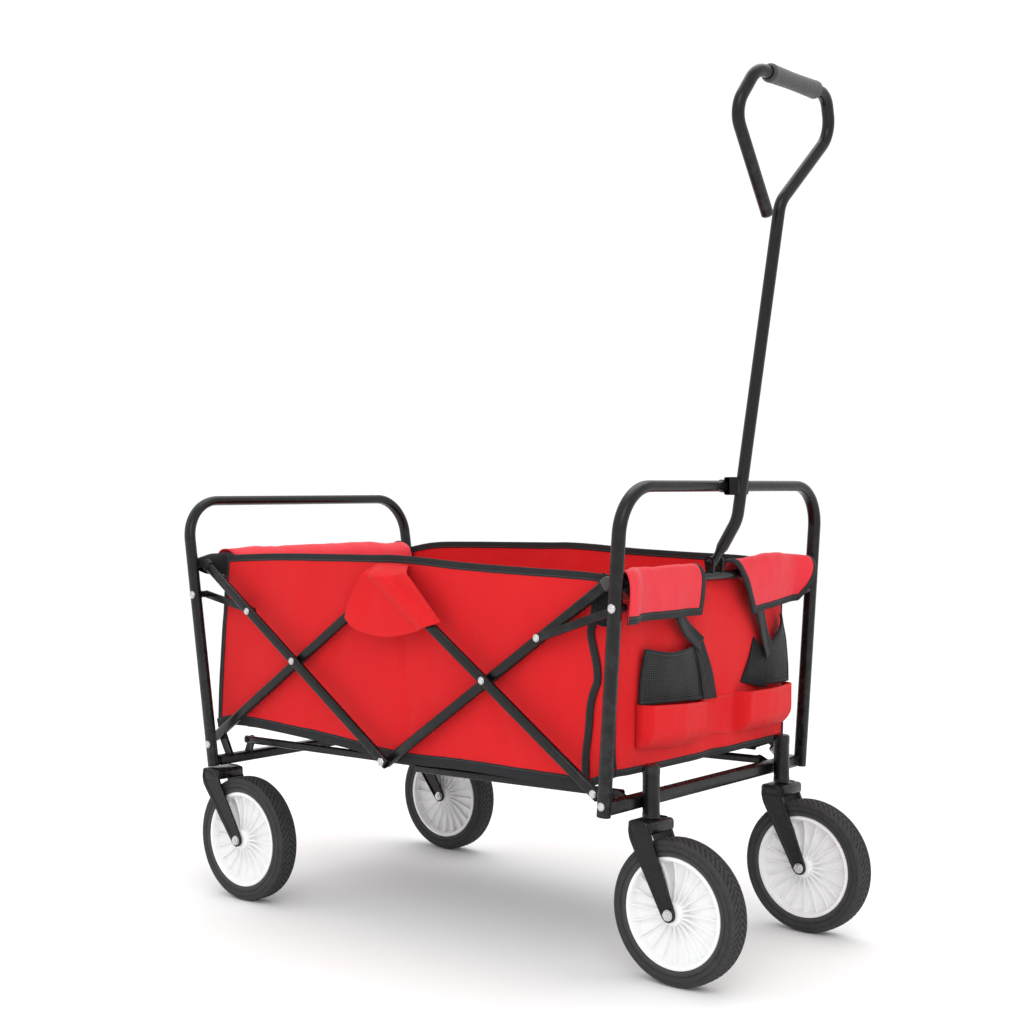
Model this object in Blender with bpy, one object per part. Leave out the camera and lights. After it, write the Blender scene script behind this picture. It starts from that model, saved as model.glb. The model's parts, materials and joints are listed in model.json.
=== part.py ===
"""Folding camp wagon: a steel scissor frame on four wheels, with a fabric basket and a pull handle.

Frame: +X is the front (the handle end), +Y is the left side, +Z is up. The origin is on the ground,
under the middle of the wagon's length. The sizes below are in metres, and their X is counted from
the middle of the basket's floor: centre_on_origin moves everything back at the end.
"""
import math

import bmesh
import bpy
import numpy as np
from mathutils import Matrix, Vector

# ---- clearances ----------------------------------------------------------------------------------
GAP = 0.0003              # between pieces that touch
RUN = 0.0005              # between pieces that turn on each other
DRILL_HALF = 0.04         # half the length of a drill, longer than anything that it goes through

# ---- scissor sides -------------------------------------------------------------------------------
SCISSOR_X = -0.0125       # the middle of the two scissor sides
CORNER_X = 0.355          # lower corner pivots, front and rear of that middle
PIVOT_Z = 0.231           # lower corner pivots and bottom centre pivots
ARM_RISE = 0.246          # from a lower pivot to an upper one
ARM_HEIGHT = 0.014        # arm tube, in the plane of the side
ARM_WIDTH = 0.0095        # arm tube, across
OUTER_Y = 0.2185          # middle plane of the arms nearer the uprights
INNER_Y = 0.2075          # middle plane of the arms nearer the basket
ARM_LENGTH = math.hypot(CORNER_X, ARM_RISE)
ARM_ANGLE = math.atan2(ARM_RISE, CORNER_X)
ARM_END = 0.007           # how far an arm runs on past its end pivots
RIVET_RADIUS = 0.003
RIVET_HOLE = 0.0033
BOSS_RADIUS = 0.005
HEAD_RADIUS = 0.0055
HEAD_HEIGHT = 0.0022
CAP_LENGTH = 0.026
CAP_WALL = 0.0018

# ---- end frames (bent flat-oval tube) ------------------------------------------------------------
UPRIGHT_Y = 0.2314
TUBE_DEPTH = 0.018        # along X
TUBE_WIDTH = 0.014        # along Y in an upright, along Z in the top bar
CORNER_RADIUS = 0.058
FRONT_LEAN = 0.065        # metres forward for each metre up
REAR_LEAN = -0.157
FRONT_X = 0.3667          # upright's middle line at the lower pivots' height
REAR_X = -0.3564
FRONT_TOP = 0.6016
REAR_TOP = 0.579
FRONT_FOOT = 0.2075
REAR_FOOT = 0.1888

# ---- cross tubes, ears and rails -----------------------------------------------------------------
TUBE_END_Y = 0.2241
FRONT_CROSS = (0.3603, 0.2155)
REAR_CROSS = (-0.348, 0.197)
CROSS_DEPTH = 0.018
FRONT_CROSS_HEIGHT = 0.016
REAR_CROSS_HEIGHT = 0.014
EAR_THICKNESS = 0.0035
EAR_Y = 0.1998            # middle plane of the ears that carry the corner pivots
EAR_RADIUS = 0.0075
RAIL_Z = 0.486
RAIL_X = 0.372
RAIL_RADIUS = 0.006
RAIL_CRANK_Y = 0.1945        # middle of the crank
RAIL_CRANK_HALF = 0.0065
RAIL_BEND = 0.007
FRONT_RAIL_END_X = 0.3862
REAR_RAIL_END_X = -0.3975

# ---- floor braces --------------------------------------------------------------------------------
BRACE_PIVOT = (0.338, 0.2225)
BRACE_TIP_Z = 0.226
BRACE_HEIGHT = 0.011
BRACE_WIDTH = 0.008
REAR_BRACE_Y = 0.174
FRONT_BRACE_Y = 0.162
BRACE_EAR_Y = 0.1677
ROD_RADIUS = 0.004
FRONT_BRACE_DROP = 0.0105  # the front braces' ends rest this far under the rod's middle

# ---- links from the uprights to the upper arms ---------------------------------------------------
LINK_HEIGHT = 0.011
LINK_WIDTH = 0.0045
FRONT_LINK_Z = 0.457
REAR_LINK_Z = 0.440
FRONT_LINK_ARM = 0.1125   # along the arm from its upper pivot
REAR_LINK_ARM = 0.1004

# ---- wheels, forks and casters -------------------------------------------------------------------
WHEEL_RADIUS = 0.089
TYRE_WIDTH = 0.034
RIM_RADIUS = 0.0703
HUB_RADIUS = 0.014
HUB_WIDTH = 0.038
AXLE_RADIUS = 0.0042
WHEEL_STEPS = 36
REAR_AXLE_X = -0.2887
REAR_WHEEL_Y = 0.217
REAR_CROWN = (-0.346, 0.179)
CASTER_X = 0.3806
CASTER_Y = 0.155
CASTER_TRAIL = 0.041
FRONT_CROWN = (0.3806, 0.1885)
CROWN_LENGTH = 0.036
CROWN_HEIGHT = 0.016
LEG_INNER = 0.0205
LEG_OUTER = 0.024
LEG_END_RADIUS = 0.0105
HOUSING_RADIUS = 0.011
HOUSING_BORE = 0.0075
HOUSING_TOP = 0.262
KINGPIN_RADIUS = 0.007

# ---- pull handle ---------------------------------------------------------------------------------
HANDLE_PIVOT = (0.371, 0.5035)
HANDLE_KNEE = (0.4055, 0.5585)
HANDLE_CLIP = (0.4115, 0.599)
HANDLE_LEAN = math.atan(0.156)
HANDLE_RADIUS = 0.0078
NECK_RADIUS = 0.005
FOOT_HALF = 0.007         # half the width of the shaft's foot, between its bracket's ears
HANDLE_BOLT_RADIUS = 0.0025
GRIP_RADIUS = 0.0112
GRIP_HALF = 0.058
# the loop's corners: across (Y), up the shaft from the clip, and the bend's radius
LOOP = [
    (0.0, 0.362, 0.030),
    (0.099, 0.462, 0.034),
    (0.074, 0.509, 0.028),
    (-0.094, 0.509, 0.032),
    (-0.130, 0.455, 0.030),
]
LOOP_END = (-0.027, 0.345)
EAR_GAP = 0.0092          # from the handle's middle to its bracket's ears
CLIP_HALF = 0.023
CLIP_HEIGHT = 0.025
CLIP_BACK = -0.0115       # behind and ahead of the top bar's middle
CLIP_TIP = 0.0245
CLIP_CHAMFER = 0.0037

# ---- basket --------------------------------------------------------------------------------------
CLOTH = 0.003
SIDE_Y = 0.195
FLOOR_Z = 0.2415
SIDE_TOP_MIDDLE = 0.507
SIDE_TOP_FRONT = 0.492
SIDE_TOP_REAR = 0.498
PANEL_HALF = 0.1925
FRONT_PANEL_X = 0.3555
REAR_PANEL_X = -0.368
PANEL_TOP = 0.4735
FLAP_THICKNESS = 0.006
FLAP_END = 0.1865
REAR_FLAP_END = 0.184
JOINT_FLAP_HALF = 0.088
JOINT_FLAP_BOTTOM = 0.402
JOINT_FLAP_Y = 0.2275

# the pockets' outer edge, and the two spaces inside, as (Y, Z)
POCKET_DEPTH = 0.011
POCKET_WALL = 0.0018
POCKET_OUTLINE = [
    (-0.185, 0.264),
    (0.185, 0.264),
    (0.185, 0.408),
    (0.100, 0.394),
    (0.052, 0.330),
    (-0.008, 0.328),
    (-0.080, 0.390),
    (-0.185, 0.402),
]
POCKET_HOLLOWS = [
    [(0.026, 0.268), (0.182, 0.268), (0.182, 0.420), (0.026, 0.420)],
    [(0.022, 0.268), (-0.182, 0.268), (-0.182, 0.420), (0.022, 0.420)],
]

# ---- the origin ----------------------------------------------------------------------------------
MIDDLE_X = 0.04535        # the middle of the wagon's length, forward of the floor's middle

SIDES = {"left": 1, "right": -1}


# ---- mesh tools ----------------------------------------------------------------------------------
def clear_scene():
    for obj in list(bpy.data.objects):
        bpy.data.objects.remove(obj)


def material(name, colour, roughness, metallic=0.0):
    found = bpy.data.materials.get(name)
    if found:
        return found
    made = bpy.data.materials.new(name)
    made.use_nodes = True
    shader = made.node_tree.nodes["Principled BSDF"]
    shader.inputs["Base Color"].default_value = (*colour, 1.0)
    shader.inputs["Roughness"].default_value = roughness
    shader.inputs["Metallic"].default_value = metallic
    return made


def black_paint():
    return material("black_powder_coat", (0.018, 0.018, 0.02), 0.42, 0.0)


def bright_steel():
    return material("zinc_plated_steel", (0.62, 0.62, 0.63), 0.35, 1.0)


def white_plastic():
    return material("white_plastic", (0.82, 0.82, 0.84), 0.4)


def tyre_rubber():
    return material("tyre_rubber", (0.03, 0.03, 0.033), 0.8)


def grey_plastic():
    return material("grey_plastic", (0.05, 0.05, 0.055), 0.5)


def grip_foam():
    return material("grip_foam", (0.06, 0.06, 0.063), 0.9)


def red_cloth():
    return material("red_polyester", (0.68, 0.02, 0.025), 0.75)


def new_object(name, bm, look, sharp_degrees=35.0):
    bmesh.ops.recalc_face_normals(bm, faces=bm.faces)
    mesh = bpy.data.meshes.new(name)
    bm.to_mesh(mesh)
    bm.free()
    mesh.shade_smooth()
    mesh.set_sharp_from_angle(angle=math.radians(sharp_degrees))
    mesh.materials.append(look)
    obj = bpy.data.objects.new(name, mesh)
    bpy.context.scene.collection.objects.link(obj)
    return obj


def move_origin(obj, point):
    """Puts the object's origin at a point without moving its shape."""
    obj.data.transform(Matrix.Translation(-Vector(point)))
    obj.location = Vector(point)
    return obj


def hang_on(pivot, *objects):
    """Parents objects to an empty that stands on their joint's axis."""
    for obj in objects:
        obj.parent = pivot
        obj.location = obj.location - pivot.location
    return pivot


def joint_empty(name, point, axis):
    """An empty on a joint's axis. The axis itself is kept with it, as a property."""
    empty = bpy.data.objects.new(name, None)
    empty.empty_display_size = 0.05
    empty.location = Vector(point)
    empty["axis"] = axis
    bpy.context.scene.collection.objects.link(empty)
    return empty


def skin_loops(bm, loops, closed_ends=True):
    """Joins rings of points, given in order, into one closed skin."""
    rings = [[bm.verts.new(p) for p in loop] for loop in loops]
    count = len(rings[0])
    for low, high in zip(rings, rings[1:]):
        for i in range(count):
            j = (i + 1) % count
            bm.faces.new((low[i], low[j], high[j], high[i]))
    if closed_ends:
        bm.faces.new(list(reversed(rings[0])))
        bm.faces.new(rings[-1])
    return rings


def ring_of_points(radius, steps, middle=(0.0, 0.0)):
    turn = [2 * math.pi * i / steps for i in range(steps)]
    return [(middle[0] + radius * math.cos(a), middle[1] + radius * math.sin(a)) for a in turn]


def stadium(length, width, steps=4):
    """A flat oval: two half circles of the given width, joined by straight sides."""
    radius = width / 2
    shift = length / 2 - radius
    half = [(-math.pi / 2) + math.pi * i / steps for i in range(steps + 1)]
    right = [(shift + radius * math.cos(a), radius * math.sin(a)) for a in half]
    left = [(-x, -y) for x, y in right]
    return right + left


def rounded_path(corners, steps=5):
    """A path of straight runs and arcs. Each corner is (point, bend radius)."""
    points = [Vector(corners[0][0])]
    for before, here, after in zip(corners, corners[1:], corners[2:]):
        middle, radius = Vector(here[0]), here[1]
        into = (Vector(before[0]) - middle).normalized()
        out = (Vector(after[0]) - middle).normalized()
        half = into.angle(out) / 2
        start = middle + into * (radius / math.tan(half))
        end = middle + out * (radius / math.tan(half))
        centre = middle + (into + out).normalized() * (radius / math.sin(half))
        for i in range(steps + 1):
            spoke = (start - centre).slerp(end - centre, i / steps)
            points.append(centre + spoke.normalized() * radius)
    points.append(Vector(corners[-1][0]))
    return points


def sweep(path, profile, normal, scales=None):
    """Carries a profile along a flat path. The profile's first axis lies in the path's plane."""
    normal = Vector(normal).normalized()
    loops = []
    for i, point in enumerate(path):
        ahead = path[min(i + 1, len(path) - 1)] - point
        behind = point - path[max(i - 1, 0)]
        along = (ahead.normalized() + behind.normalized()).normalized()
        across = along.cross(normal).normalized()
        scale = scales[i] if scales else (1.0, 1.0)
        loops.append([point + across * (u * scale[0]) + normal * (v * scale[1]) for u, v in profile])
    bm = bmesh.new()
    skin_loops(bm, loops)
    return bm


def turned(profile, steps, axis="Y"):
    """Turns a closed outline of (radius, height) about an axis through the origin."""
    bm = bmesh.new()
    rings = []
    for i in range(steps):
        angle = 2 * math.pi * i / steps
        c, s = math.cos(angle), math.sin(angle)
        if axis == "Y":
            rings.append([bm.verts.new((r * c, h, r * s)) for r, h in profile])
        else:
            rings.append([bm.verts.new((r * c, r * s, h)) for r, h in profile])
    count = len(profile)
    for i in range(steps):
        near, far = rings[i], rings[(i + 1) % steps]
        for k in range(count):
            m = (k + 1) % count
            if profile[k][0] < 1e-9 and profile[m][0] < 1e-9:
                continue
            bm.faces.new((near[k], near[m], far[m], far[k]))
    bmesh.ops.remove_doubles(bm, verts=bm.verts, dist=1e-6)
    bmesh.ops.dissolve_degenerate(bm, edges=bm.edges, dist=1e-7)
    return bm


def prism(outline, low, high, axis="Y"):
    """Extrudes a flat outline along an axis. The outline is (X, Z) for Y, and (Y, Z) for X."""
    place = {
        "X": lambda a, b, h: (h, a, b),
        "Y": lambda a, b, h: (a, h, b),
        "Z": lambda a, b, h: (a, b, h),
    }[axis]
    bm = bmesh.new()
    skin_loops(bm, [[place(a, b, h) for a, b in outline] for h in (low, high)])
    return bm


def pin(radius, start, end, steps=12):
    """A round pin between two points on a line along Y or Z."""
    start, end = Vector(start), Vector(end)
    along = (end - start).normalized()
    side = Vector((1, 0, 0))
    other = along.cross(side)
    bm = bmesh.new()
    loops = [
        [p + side * a + other * b for a, b in ring_of_points(radius, steps)] for p in (start, end)
    ]
    skin_loops(bm, loops)
    return bm


def block(low, high):
    (x0, y0, z0), (x1, y1, z1) = low, high
    return prism([(x0, z0), (x1, z0), (x1, z1), (x0, z1)], y0, y1)


def combine(target, others, operation):
    """Joins or cuts solids with exact Booleans, and leaves no helper behind."""
    for other in others:
        step = target.modifiers.new(operation.lower(), "BOOLEAN")
        step.operation = operation
        step.solver = "EXACT"
        step.object = other
    bpy.context.view_layer.update()
    graph = bpy.context.evaluated_depsgraph_get()
    shape = bpy.data.meshes.new_from_object(target.evaluated_get(graph))
    target.modifiers.clear()
    target.data = shape
    for other in others:
        bpy.data.objects.remove(other)
    return target


def helper(bm):
    obj = new_object("helper", bm, black_paint())
    obj.hide_render = True
    obj.display_type = "WIRE"
    return obj


def union(target, *shapes):
    return combine(target, [helper(bm) for bm in shapes], "UNION")


def cut(target, *shapes):
    return combine(target, [helper(bm) for bm in shapes], "DIFFERENCE")


# ---- end frames ----------------------------------------------------------------------------------
def upright_x(end, z):
    if end == "front":
        return FRONT_X + FRONT_LEAN * (z - PIVOT_Z)
    return REAR_X + REAR_LEAN * (z - PIVOT_Z)


def end_frame(end, foot, top):
    """A U of flat-oval tube: two uprights and a top bar in one leaning plane."""
    corners = [
        ((upright_x(end, foot), -UPRIGHT_Y, foot), 0),
        ((upright_x(end, top), -UPRIGHT_Y, top), CORNER_RADIUS),
        ((upright_x(end, top), UPRIGHT_Y, top), CORNER_RADIUS),
        ((upright_x(end, foot), UPRIGHT_Y, foot), 0),
    ]
    path = rounded_path(corners, steps=6)
    lean = FRONT_LEAN if end == "front" else REAR_LEAN
    profile = [(v, u) for u, v in stadium(TUBE_DEPTH, TUBE_WIDTH)]
    bm = sweep(path, profile, normal=(1, 0, -lean))
    return new_object(end + "_frame", bm, black_paint())


def ear_outline(pivot, base_low, base_high, base_z, radius):
    """A plate that stands on a tube and ends in a round eye."""
    arc = [math.pi * i / 6 for i in range(7)]
    eye = [(pivot[0] + radius * math.cos(a), pivot[1] + radius * math.sin(a)) for a in arc]
    return [(base_low, base_z), (base_high, base_z)] + eye


def cross_tube(end):
    """The lower cross tube with its four ears: two for the scissor sides, two for the floor."""
    sign = 1 if end == "front" else -1
    middle = FRONT_CROSS if end == "front" else REAR_CROSS
    height = FRONT_CROSS_HEIGHT if end == "front" else REAR_CROSS_HEIGHT
    half = CROSS_DEPTH / 2
    low = (middle[0] - half, -TUBE_END_Y, middle[1] - height / 2)
    high = (middle[0] + half, TUBE_END_Y, middle[1] + height / 2)
    body = new_object(end + "_cross_tube", block(low, high), black_paint())
    top = middle[1]
    shapes = []
    for side in SIDES.values():
        for plane, pivot, radius in (
            (EAR_Y, (SCISSOR_X + sign * CORNER_X, PIVOT_Z), EAR_RADIUS),
            (BRACE_EAR_Y, (sign * BRACE_PIVOT[0], BRACE_PIVOT[1]), 0.006),
        ):
            base = (middle[0] - half * 0.8, middle[0] + half * 0.8)
            outline = ear_outline(pivot, base[0], base[1], top, radius)
            outline = convex(outline)
            thick = EAR_THICKNESS if plane == EAR_Y else 0.0026
            edges = sorted((side * (plane - thick / 2), side * (plane + thick / 2)))
            shapes.append(prism(outline, *edges))
    return union(body, *shapes)


def convex(points):
    """The convex outline round a few points, in order."""
    points = sorted(set((round(a, 6), round(b, 6)) for a, b in points))

    def chain(sequence):
        line = []
        for p in sequence:
            while len(line) > 1 and turn_of(line[-2], line[-1], p) <= 0:
                line.pop()
            line.append(p)
        return line[:-1]

    return chain(points) + chain(points[::-1])


def turn_of(a, b, c):
    return (b[0] - a[0]) * (c[1] - a[1]) - (b[1] - a[1]) * (c[0] - a[0])


def top_rail(end):
    """The rail under the basket's end hem, cranked at both ends to meet the uprights."""
    sign = 1 if end == "front" else -1
    middle_x = sign * RAIL_X
    end_x = FRONT_RAIL_END_X if end == "front" else REAR_RAIL_END_X
    corners = [
        ((end_x, -TUBE_END_Y, RAIL_Z), 0),
        ((end_x, -RAIL_CRANK_Y - RAIL_CRANK_HALF, RAIL_Z), RAIL_BEND),
        ((middle_x, -RAIL_CRANK_Y + RAIL_CRANK_HALF, RAIL_Z), RAIL_BEND),
        ((middle_x, RAIL_CRANK_Y - RAIL_CRANK_HALF, RAIL_Z), RAIL_BEND),
        ((end_x, RAIL_CRANK_Y + RAIL_CRANK_HALF, RAIL_Z), RAIL_BEND),
        ((end_x, TUBE_END_Y, RAIL_Z), 0),
    ]
    path = rounded_path(corners, steps=3)
    profile = ring_of_points(RAIL_RADIUS, 12)
    rail = new_object(end + "_top_rail", sweep(path, profile, normal=(0, 0, 1)), black_paint())
    if end == "rear":
        return rail
    return union(rail, *[handle_ear(side) for side in SIDES.values()])


def handle_ear(side):
    """One of the two ears that hold the handle's lower end."""
    arc = [math.pi * i / 6 for i in range(7)]
    eye = [
        (HANDLE_PIVOT[0] + 0.0075 * math.cos(a), HANDLE_PIVOT[1] + 0.0075 * math.sin(a)) for a in arc
    ]
    outline = convex(eye + [(RAIL_X - 0.005, RAIL_Z), (RAIL_X + 0.005, RAIL_Z)])
    edges = sorted((side * EAR_GAP, side * (EAR_GAP + 0.0025)))
    return prism(outline, *edges)


# ---- scissor arms --------------------------------------------------------------------------------
def arm_bar():
    """An arm along local X, from its first pivot at the origin to its last pivot."""
    start, end = -ARM_END, ARM_LENGTH + ARM_END
    radius = ARM_HEIGHT / 2
    arc = [math.pi / 2 - math.pi * i / 6 for i in range(7)]
    right = [(end - radius + radius * math.cos(a), radius * math.sin(a)) for a in arc]
    left = [(start + radius - radius * math.cos(a), -radius * math.sin(a)) for a in arc]
    outline = right + left
    inset = 0.0016
    bm = bmesh.new()
    half = ARM_WIDTH / 2
    thin = [(shrink(u, start, end, inset), v * (1 - inset / radius)) for u, v in outline]
    loops = [
        [(u, -half, v) for u, v in thin],
        [(u, -half + inset, v) for u, v in outline],
        [(u, half - inset, v) for u, v in outline],
        [(u, half, v) for u, v in thin],
    ]
    skin_loops(bm, loops)
    return bm


def shrink(value, low, high, amount):
    middle = (low + high) / 2
    return middle + (value - middle) * (1 - 2 * amount / (high - low))


def arm_rivet(at, side, reach):
    """A rivet through the gap to the next arm, with its head outside."""
    start = side * (ARM_WIDTH / 2 - 0.002)
    shank = pin(RIVET_RADIUS, (at, start, 0), (at, side * reach, 0))
    head = pin(HEAD_RADIUS, (at, side * reach, 0), (at, side * (reach + HEAD_HEIGHT), 0))
    return shank, head


def hole(at):
    return pin(RIVET_HOLE, (at, -DRILL_HALF, 0), (at, DRILL_HALF, 0))


def scissor_side(word, side):
    """Four arms: the low ones rise from the corners, the high ones fall from the basket's top."""
    outer, inner = side * OUTER_Y, side * INNER_Y
    through = (OUTER_Y - INNER_Y) + ARM_WIDTH / 2 + GAP
    middle = ARM_LENGTH / 2
    rear, front = SCISSOR_X - CORNER_X, SCISSOR_X + CORNER_X
    top = PIVOT_Z + ARM_RISE
    layout = {
        # name: (first pivot, end the arm leans towards, plane, rivets, holes)
        "arm_rear_low": ((rear, PIVOT_Z), -ARM_ANGLE, inner, (middle, ARM_LENGTH), ()),
        "arm_rear_high": ((rear, top), ARM_ANGLE, outer, (), (middle, ARM_LENGTH)),
        "arm_front_low": ((front, PIVOT_Z), math.pi + ARM_ANGLE, outer, (), (middle, ARM_LENGTH)),
        "arm_front_high": ((front, top), math.pi - ARM_ANGLE, inner, (middle, ARM_LENGTH), ()),
    }
    made = {}
    for name, (pivot, turn, plane, rivets, holes) in layout.items():
        arm = new_object(name + "_" + word, arm_bar(), black_paint())
        for at in rivets:
            arm = union(arm, *arm_rivet(at, side, through))
        if holes:
            arm = cut(arm, *[hole(at) for at in holes])
        if name.endswith("low"):
            reach = abs(plane) - EAR_Y - EAR_THICKNESS / 2 - RUN
            arm = union(arm, pin(BOSS_RADIUS, (0, 0, 0), (0, -side * reach, 0)))
        if name == "arm_rear_high":
            face = side * ARM_WIDTH / 2
            start, end = (REAR_LINK_ARM, face * 0.5, 0), (REAR_LINK_ARM, face + side * HEAD_HEIGHT, 0)
            arm = union(arm, pin(HEAD_RADIUS, start, end))
        arm.location = (pivot[0], plane, pivot[1])
        arm.rotation_euler = (0, turn, 0)
        made[name] = arm
    return made


def arm_cap(end, word, side):
    """A plastic cap on the upper end of a high arm."""
    plane = side * (INNER_Y if end == "front" else OUTER_Y)
    length, half_height = CAP_LENGTH, ARM_HEIGHT / 2 + CAP_WALL
    start = ARM_END + GAP
    outline = [
        (-start, -half_height * 0.8),
        (-start, half_height * 0.8),
        (-start - length * 0.25, half_height),
        (-start - length * 0.45, half_height * 0.55),
        (-start - length * 0.52, 0),
        (-start - length * 0.45, -half_height * 0.55),
        (-start - length * 0.25, -half_height),
    ]
    cap = new_object("arm_cap_" + end + "_" + word, prism(outline, -0.0048, 0.0048), grey_plastic())
    sign = 1 if end == "front" else -1
    cap.location = (SCISSOR_X + sign * CORNER_X, plane, PIVOT_Z + ARM_RISE)
    cap.rotation_euler = (0, math.pi - ARM_ANGLE if end == "front" else ARM_ANGLE, 0)
    return cap


def link_points(end):
    """Where a link meets its upright, and where it meets its arm."""
    z = FRONT_LINK_Z if end == "front" else REAR_LINK_Z
    along = FRONT_LINK_ARM if end == "front" else REAR_LINK_ARM
    sign = 1 if end == "front" else -1
    on_arm = (
        SCISSOR_X + sign * (CORNER_X - along * math.cos(ARM_ANGLE)),
        PIVOT_Z + ARM_RISE - along * math.sin(ARM_ANGLE),
    )
    return (upright_x(end, z), z), on_arm


def link_plane(end):
    """A front link lies outside its arm, and a rear link lies inside its arm."""
    step = ARM_WIDTH / 2 + LINK_WIDTH / 2 + GAP
    return INNER_Y + step if end == "front" else OUTER_Y - step


def link(end, word, side):
    """A short flat bar from an upright to the high arm, in the plane next to that arm."""
    start, finish = link_points(end)
    length = math.hypot(finish[0] - start[0], finish[1] - start[1])
    radius = LINK_HEIGHT / 2
    arc = [math.pi / 2 - math.pi * i / 5 for i in range(6)]
    right = [(length + radius * math.cos(a), radius * math.sin(a)) for a in arc]
    left = [(-radius * math.cos(a), -radius * math.sin(a)) for a in arc]
    plane = side * link_plane(end)
    body = prism(right + left, -LINK_WIDTH / 2, LINK_WIDTH / 2)
    bar = new_object("link_" + end + "_" + word, body, black_paint())
    reach = UPRIGHT_Y - TUBE_WIDTH / 2 - abs(plane) - RUN
    shapes = [pin(BOSS_RADIUS, (0, 0, 0), (0, side * reach, 0))]
    if end == "front":
        top = side * (LINK_WIDTH / 2 + HEAD_HEIGHT)
        shapes.append(pin(HEAD_RADIUS, (length, 0, 0), (length, top, 0)))
    bar = union(bar, *shapes)
    bar.location = (start[0], plane, start[1])
    bar.rotation_euler = (0, -math.atan2(finish[1] - start[1], finish[0] - start[0]), 0)
    return bar


# ---- floor braces --------------------------------------------------------------------------------
def brace(end, word, side):
    """A flat tube from its ear to the wagon's middle, hinged at the ear."""
    sign = 1 if end == "front" else -1
    plane = side * (FRONT_BRACE_Y if end == "front" else REAR_BRACE_Y)
    tip_z = BRACE_TIP_Z - (FRONT_BRACE_DROP if end == "front" else 0.0)
    pivot = (sign * BRACE_PIVOT[0], BRACE_PIVOT[1])
    length = math.hypot(pivot[0], tip_z - pivot[1])
    half, radius = BRACE_WIDTH / 2, BRACE_HEIGHT / 2
    arc = [math.pi / 2 - math.pi * i / 6 for i in range(7)]
    right = [(length + radius * math.cos(a), radius * math.sin(a)) for a in arc]
    left = [(-radius * math.cos(a), -radius * math.sin(a)) for a in arc]
    bar = new_object(
        "floor_brace_" + end + "_" + word, prism(right + left, -half, half), black_paint()
    )
    bar.location = (pivot[0], plane, pivot[1])
    bar.rotation_euler = (0, -math.atan2(tip_z - pivot[1], -pivot[0]), 0)
    return bar


def hinge_rod():
    """The rod that joins the rear braces across the wagon, under the middle of the floor."""
    reach = REAR_BRACE_Y - BRACE_WIDTH / 2 - GAP
    bm = pin(ROD_RADIUS, (0, -reach, BRACE_TIP_Z), (0, reach, BRACE_TIP_Z), steps=14)
    return move_origin(new_object("floor_hinge_rod", bm, black_paint()), (0, 0, BRACE_TIP_Z))


# ---- wheels and forks ----------------------------------------------------------------------------
def tyre_mesh():
    half, bead = TYRE_WIDTH / 2, RIM_RADIUS - 0.002
    outline = [
        (bead, -half + 0.0015),
        (RIM_RADIUS + 0.004, -half),
        (WHEEL_RADIUS - 0.006, -half + 0.0004),
        (WHEEL_RADIUS - 0.0012, -half + 0.005),
        (WHEEL_RADIUS, -half + 0.011),
        (WHEEL_RADIUS, half - 0.011),
        (WHEEL_RADIUS - 0.0012, half - 0.005),
        (WHEEL_RADIUS - 0.006, half - 0.0004),
        (RIM_RADIUS + 0.004, half),
        (bead, half - 0.0015),
    ]
    return turned(outline, WHEEL_STEPS)


def rim_mesh():
    """A plastic wheel: hub, thin web and a broad ring that the tyre sits on."""
    ring, lip, web = RIM_RADIUS - 0.002 - GAP, TYRE_WIDTH / 2 - 0.002, 0.002
    bore, hub = AXLE_RADIUS + RUN, HUB_WIDTH / 2
    half = [
        (bore, hub),
        (HUB_RADIUS, hub),
        (HUB_RADIUS + 0.002, web),
        (ring - 0.005, web),
        (ring - 0.004, lip),
        (ring, lip),
    ]
    outline = half + [(r, -h) for r, h in reversed(half)]
    return turned(outline, WHEEL_STEPS)


def leg_outline(crown, axle):
    """A fork leg: as wide as the crown on top, and round at the axle."""
    half = CROWN_LENGTH / 2
    top = crown[1] + CROWN_HEIGHT / 2
    low = crown[1] - CROWN_HEIGHT / 2
    circle = ring_of_points(LEG_END_RADIUS, 14, axle)
    return convex(
        [
            (crown[0] - half * 0.8, top),
            (crown[0] + half * 0.8, top),
            (crown[0] - half, low + 0.004),
            (crown[0] + half * 0.72, low - 0.002),
            (crown[0] - half * 0.85, low - 0.008),
        ]
        + circle
    )


def fork(name, crown, axle, middle_y, kingpin):
    """A crown over the wheel, with a leg on each side of it."""
    half = CROWN_LENGTH / 2
    low = (crown[0] - half, middle_y - LEG_OUTER + 0.001, crown[1] - CROWN_HEIGHT / 2)
    high = (crown[0] + half, middle_y + LEG_OUTER - 0.001, crown[1] + CROWN_HEIGHT / 2 - 0.0005)
    body = new_object(name, block(low, high), black_paint())
    outline = leg_outline(crown, axle)
    shapes = []
    for side in SIDES.values():
        edges = sorted((middle_y + side * LEG_INNER, middle_y + side * LEG_OUTER))
        shapes.append(prism(outline, *edges))
    if kingpin:
        base = (crown[0], middle_y, crown[1])
        tip = (crown[0], middle_y, HOUSING_TOP - 0.004)
        shapes.append(pin(KINGPIN_RADIUS, base, tip, steps=16))
    body = union(body, *shapes)
    start = (axle[0], middle_y - DRILL_HALF, axle[1])
    end = (axle[0], middle_y + DRILL_HALF, axle[1])
    body = cut(body, pin(AXLE_RADIUS + GAP, start, end))
    origin = (crown[0], middle_y, crown[1]) if kingpin else (axle[0], middle_y, axle[1])
    return move_origin(body, origin)


def axle_bolt(name, axle, middle_y):
    """A shouldered axle with a head outside each leg."""
    reach = LEG_OUTER + GAP
    outline = [
        (0.0, -reach - 0.0045),
        (0.0052, -reach - 0.0045),
        (0.0066, -reach - 0.003),
        (0.0066, -reach),
        (AXLE_RADIUS, -reach),
        (AXLE_RADIUS, reach),
        (0.0066, reach),
        (0.0066, reach + 0.003),
        (0.0052, reach + 0.0045),
        (0.0, reach + 0.0045),
    ]
    bolt = new_object(name, turned(outline, 12), bright_steel())
    bolt.location = (axle[0], middle_y, axle[1])
    return bolt


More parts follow.
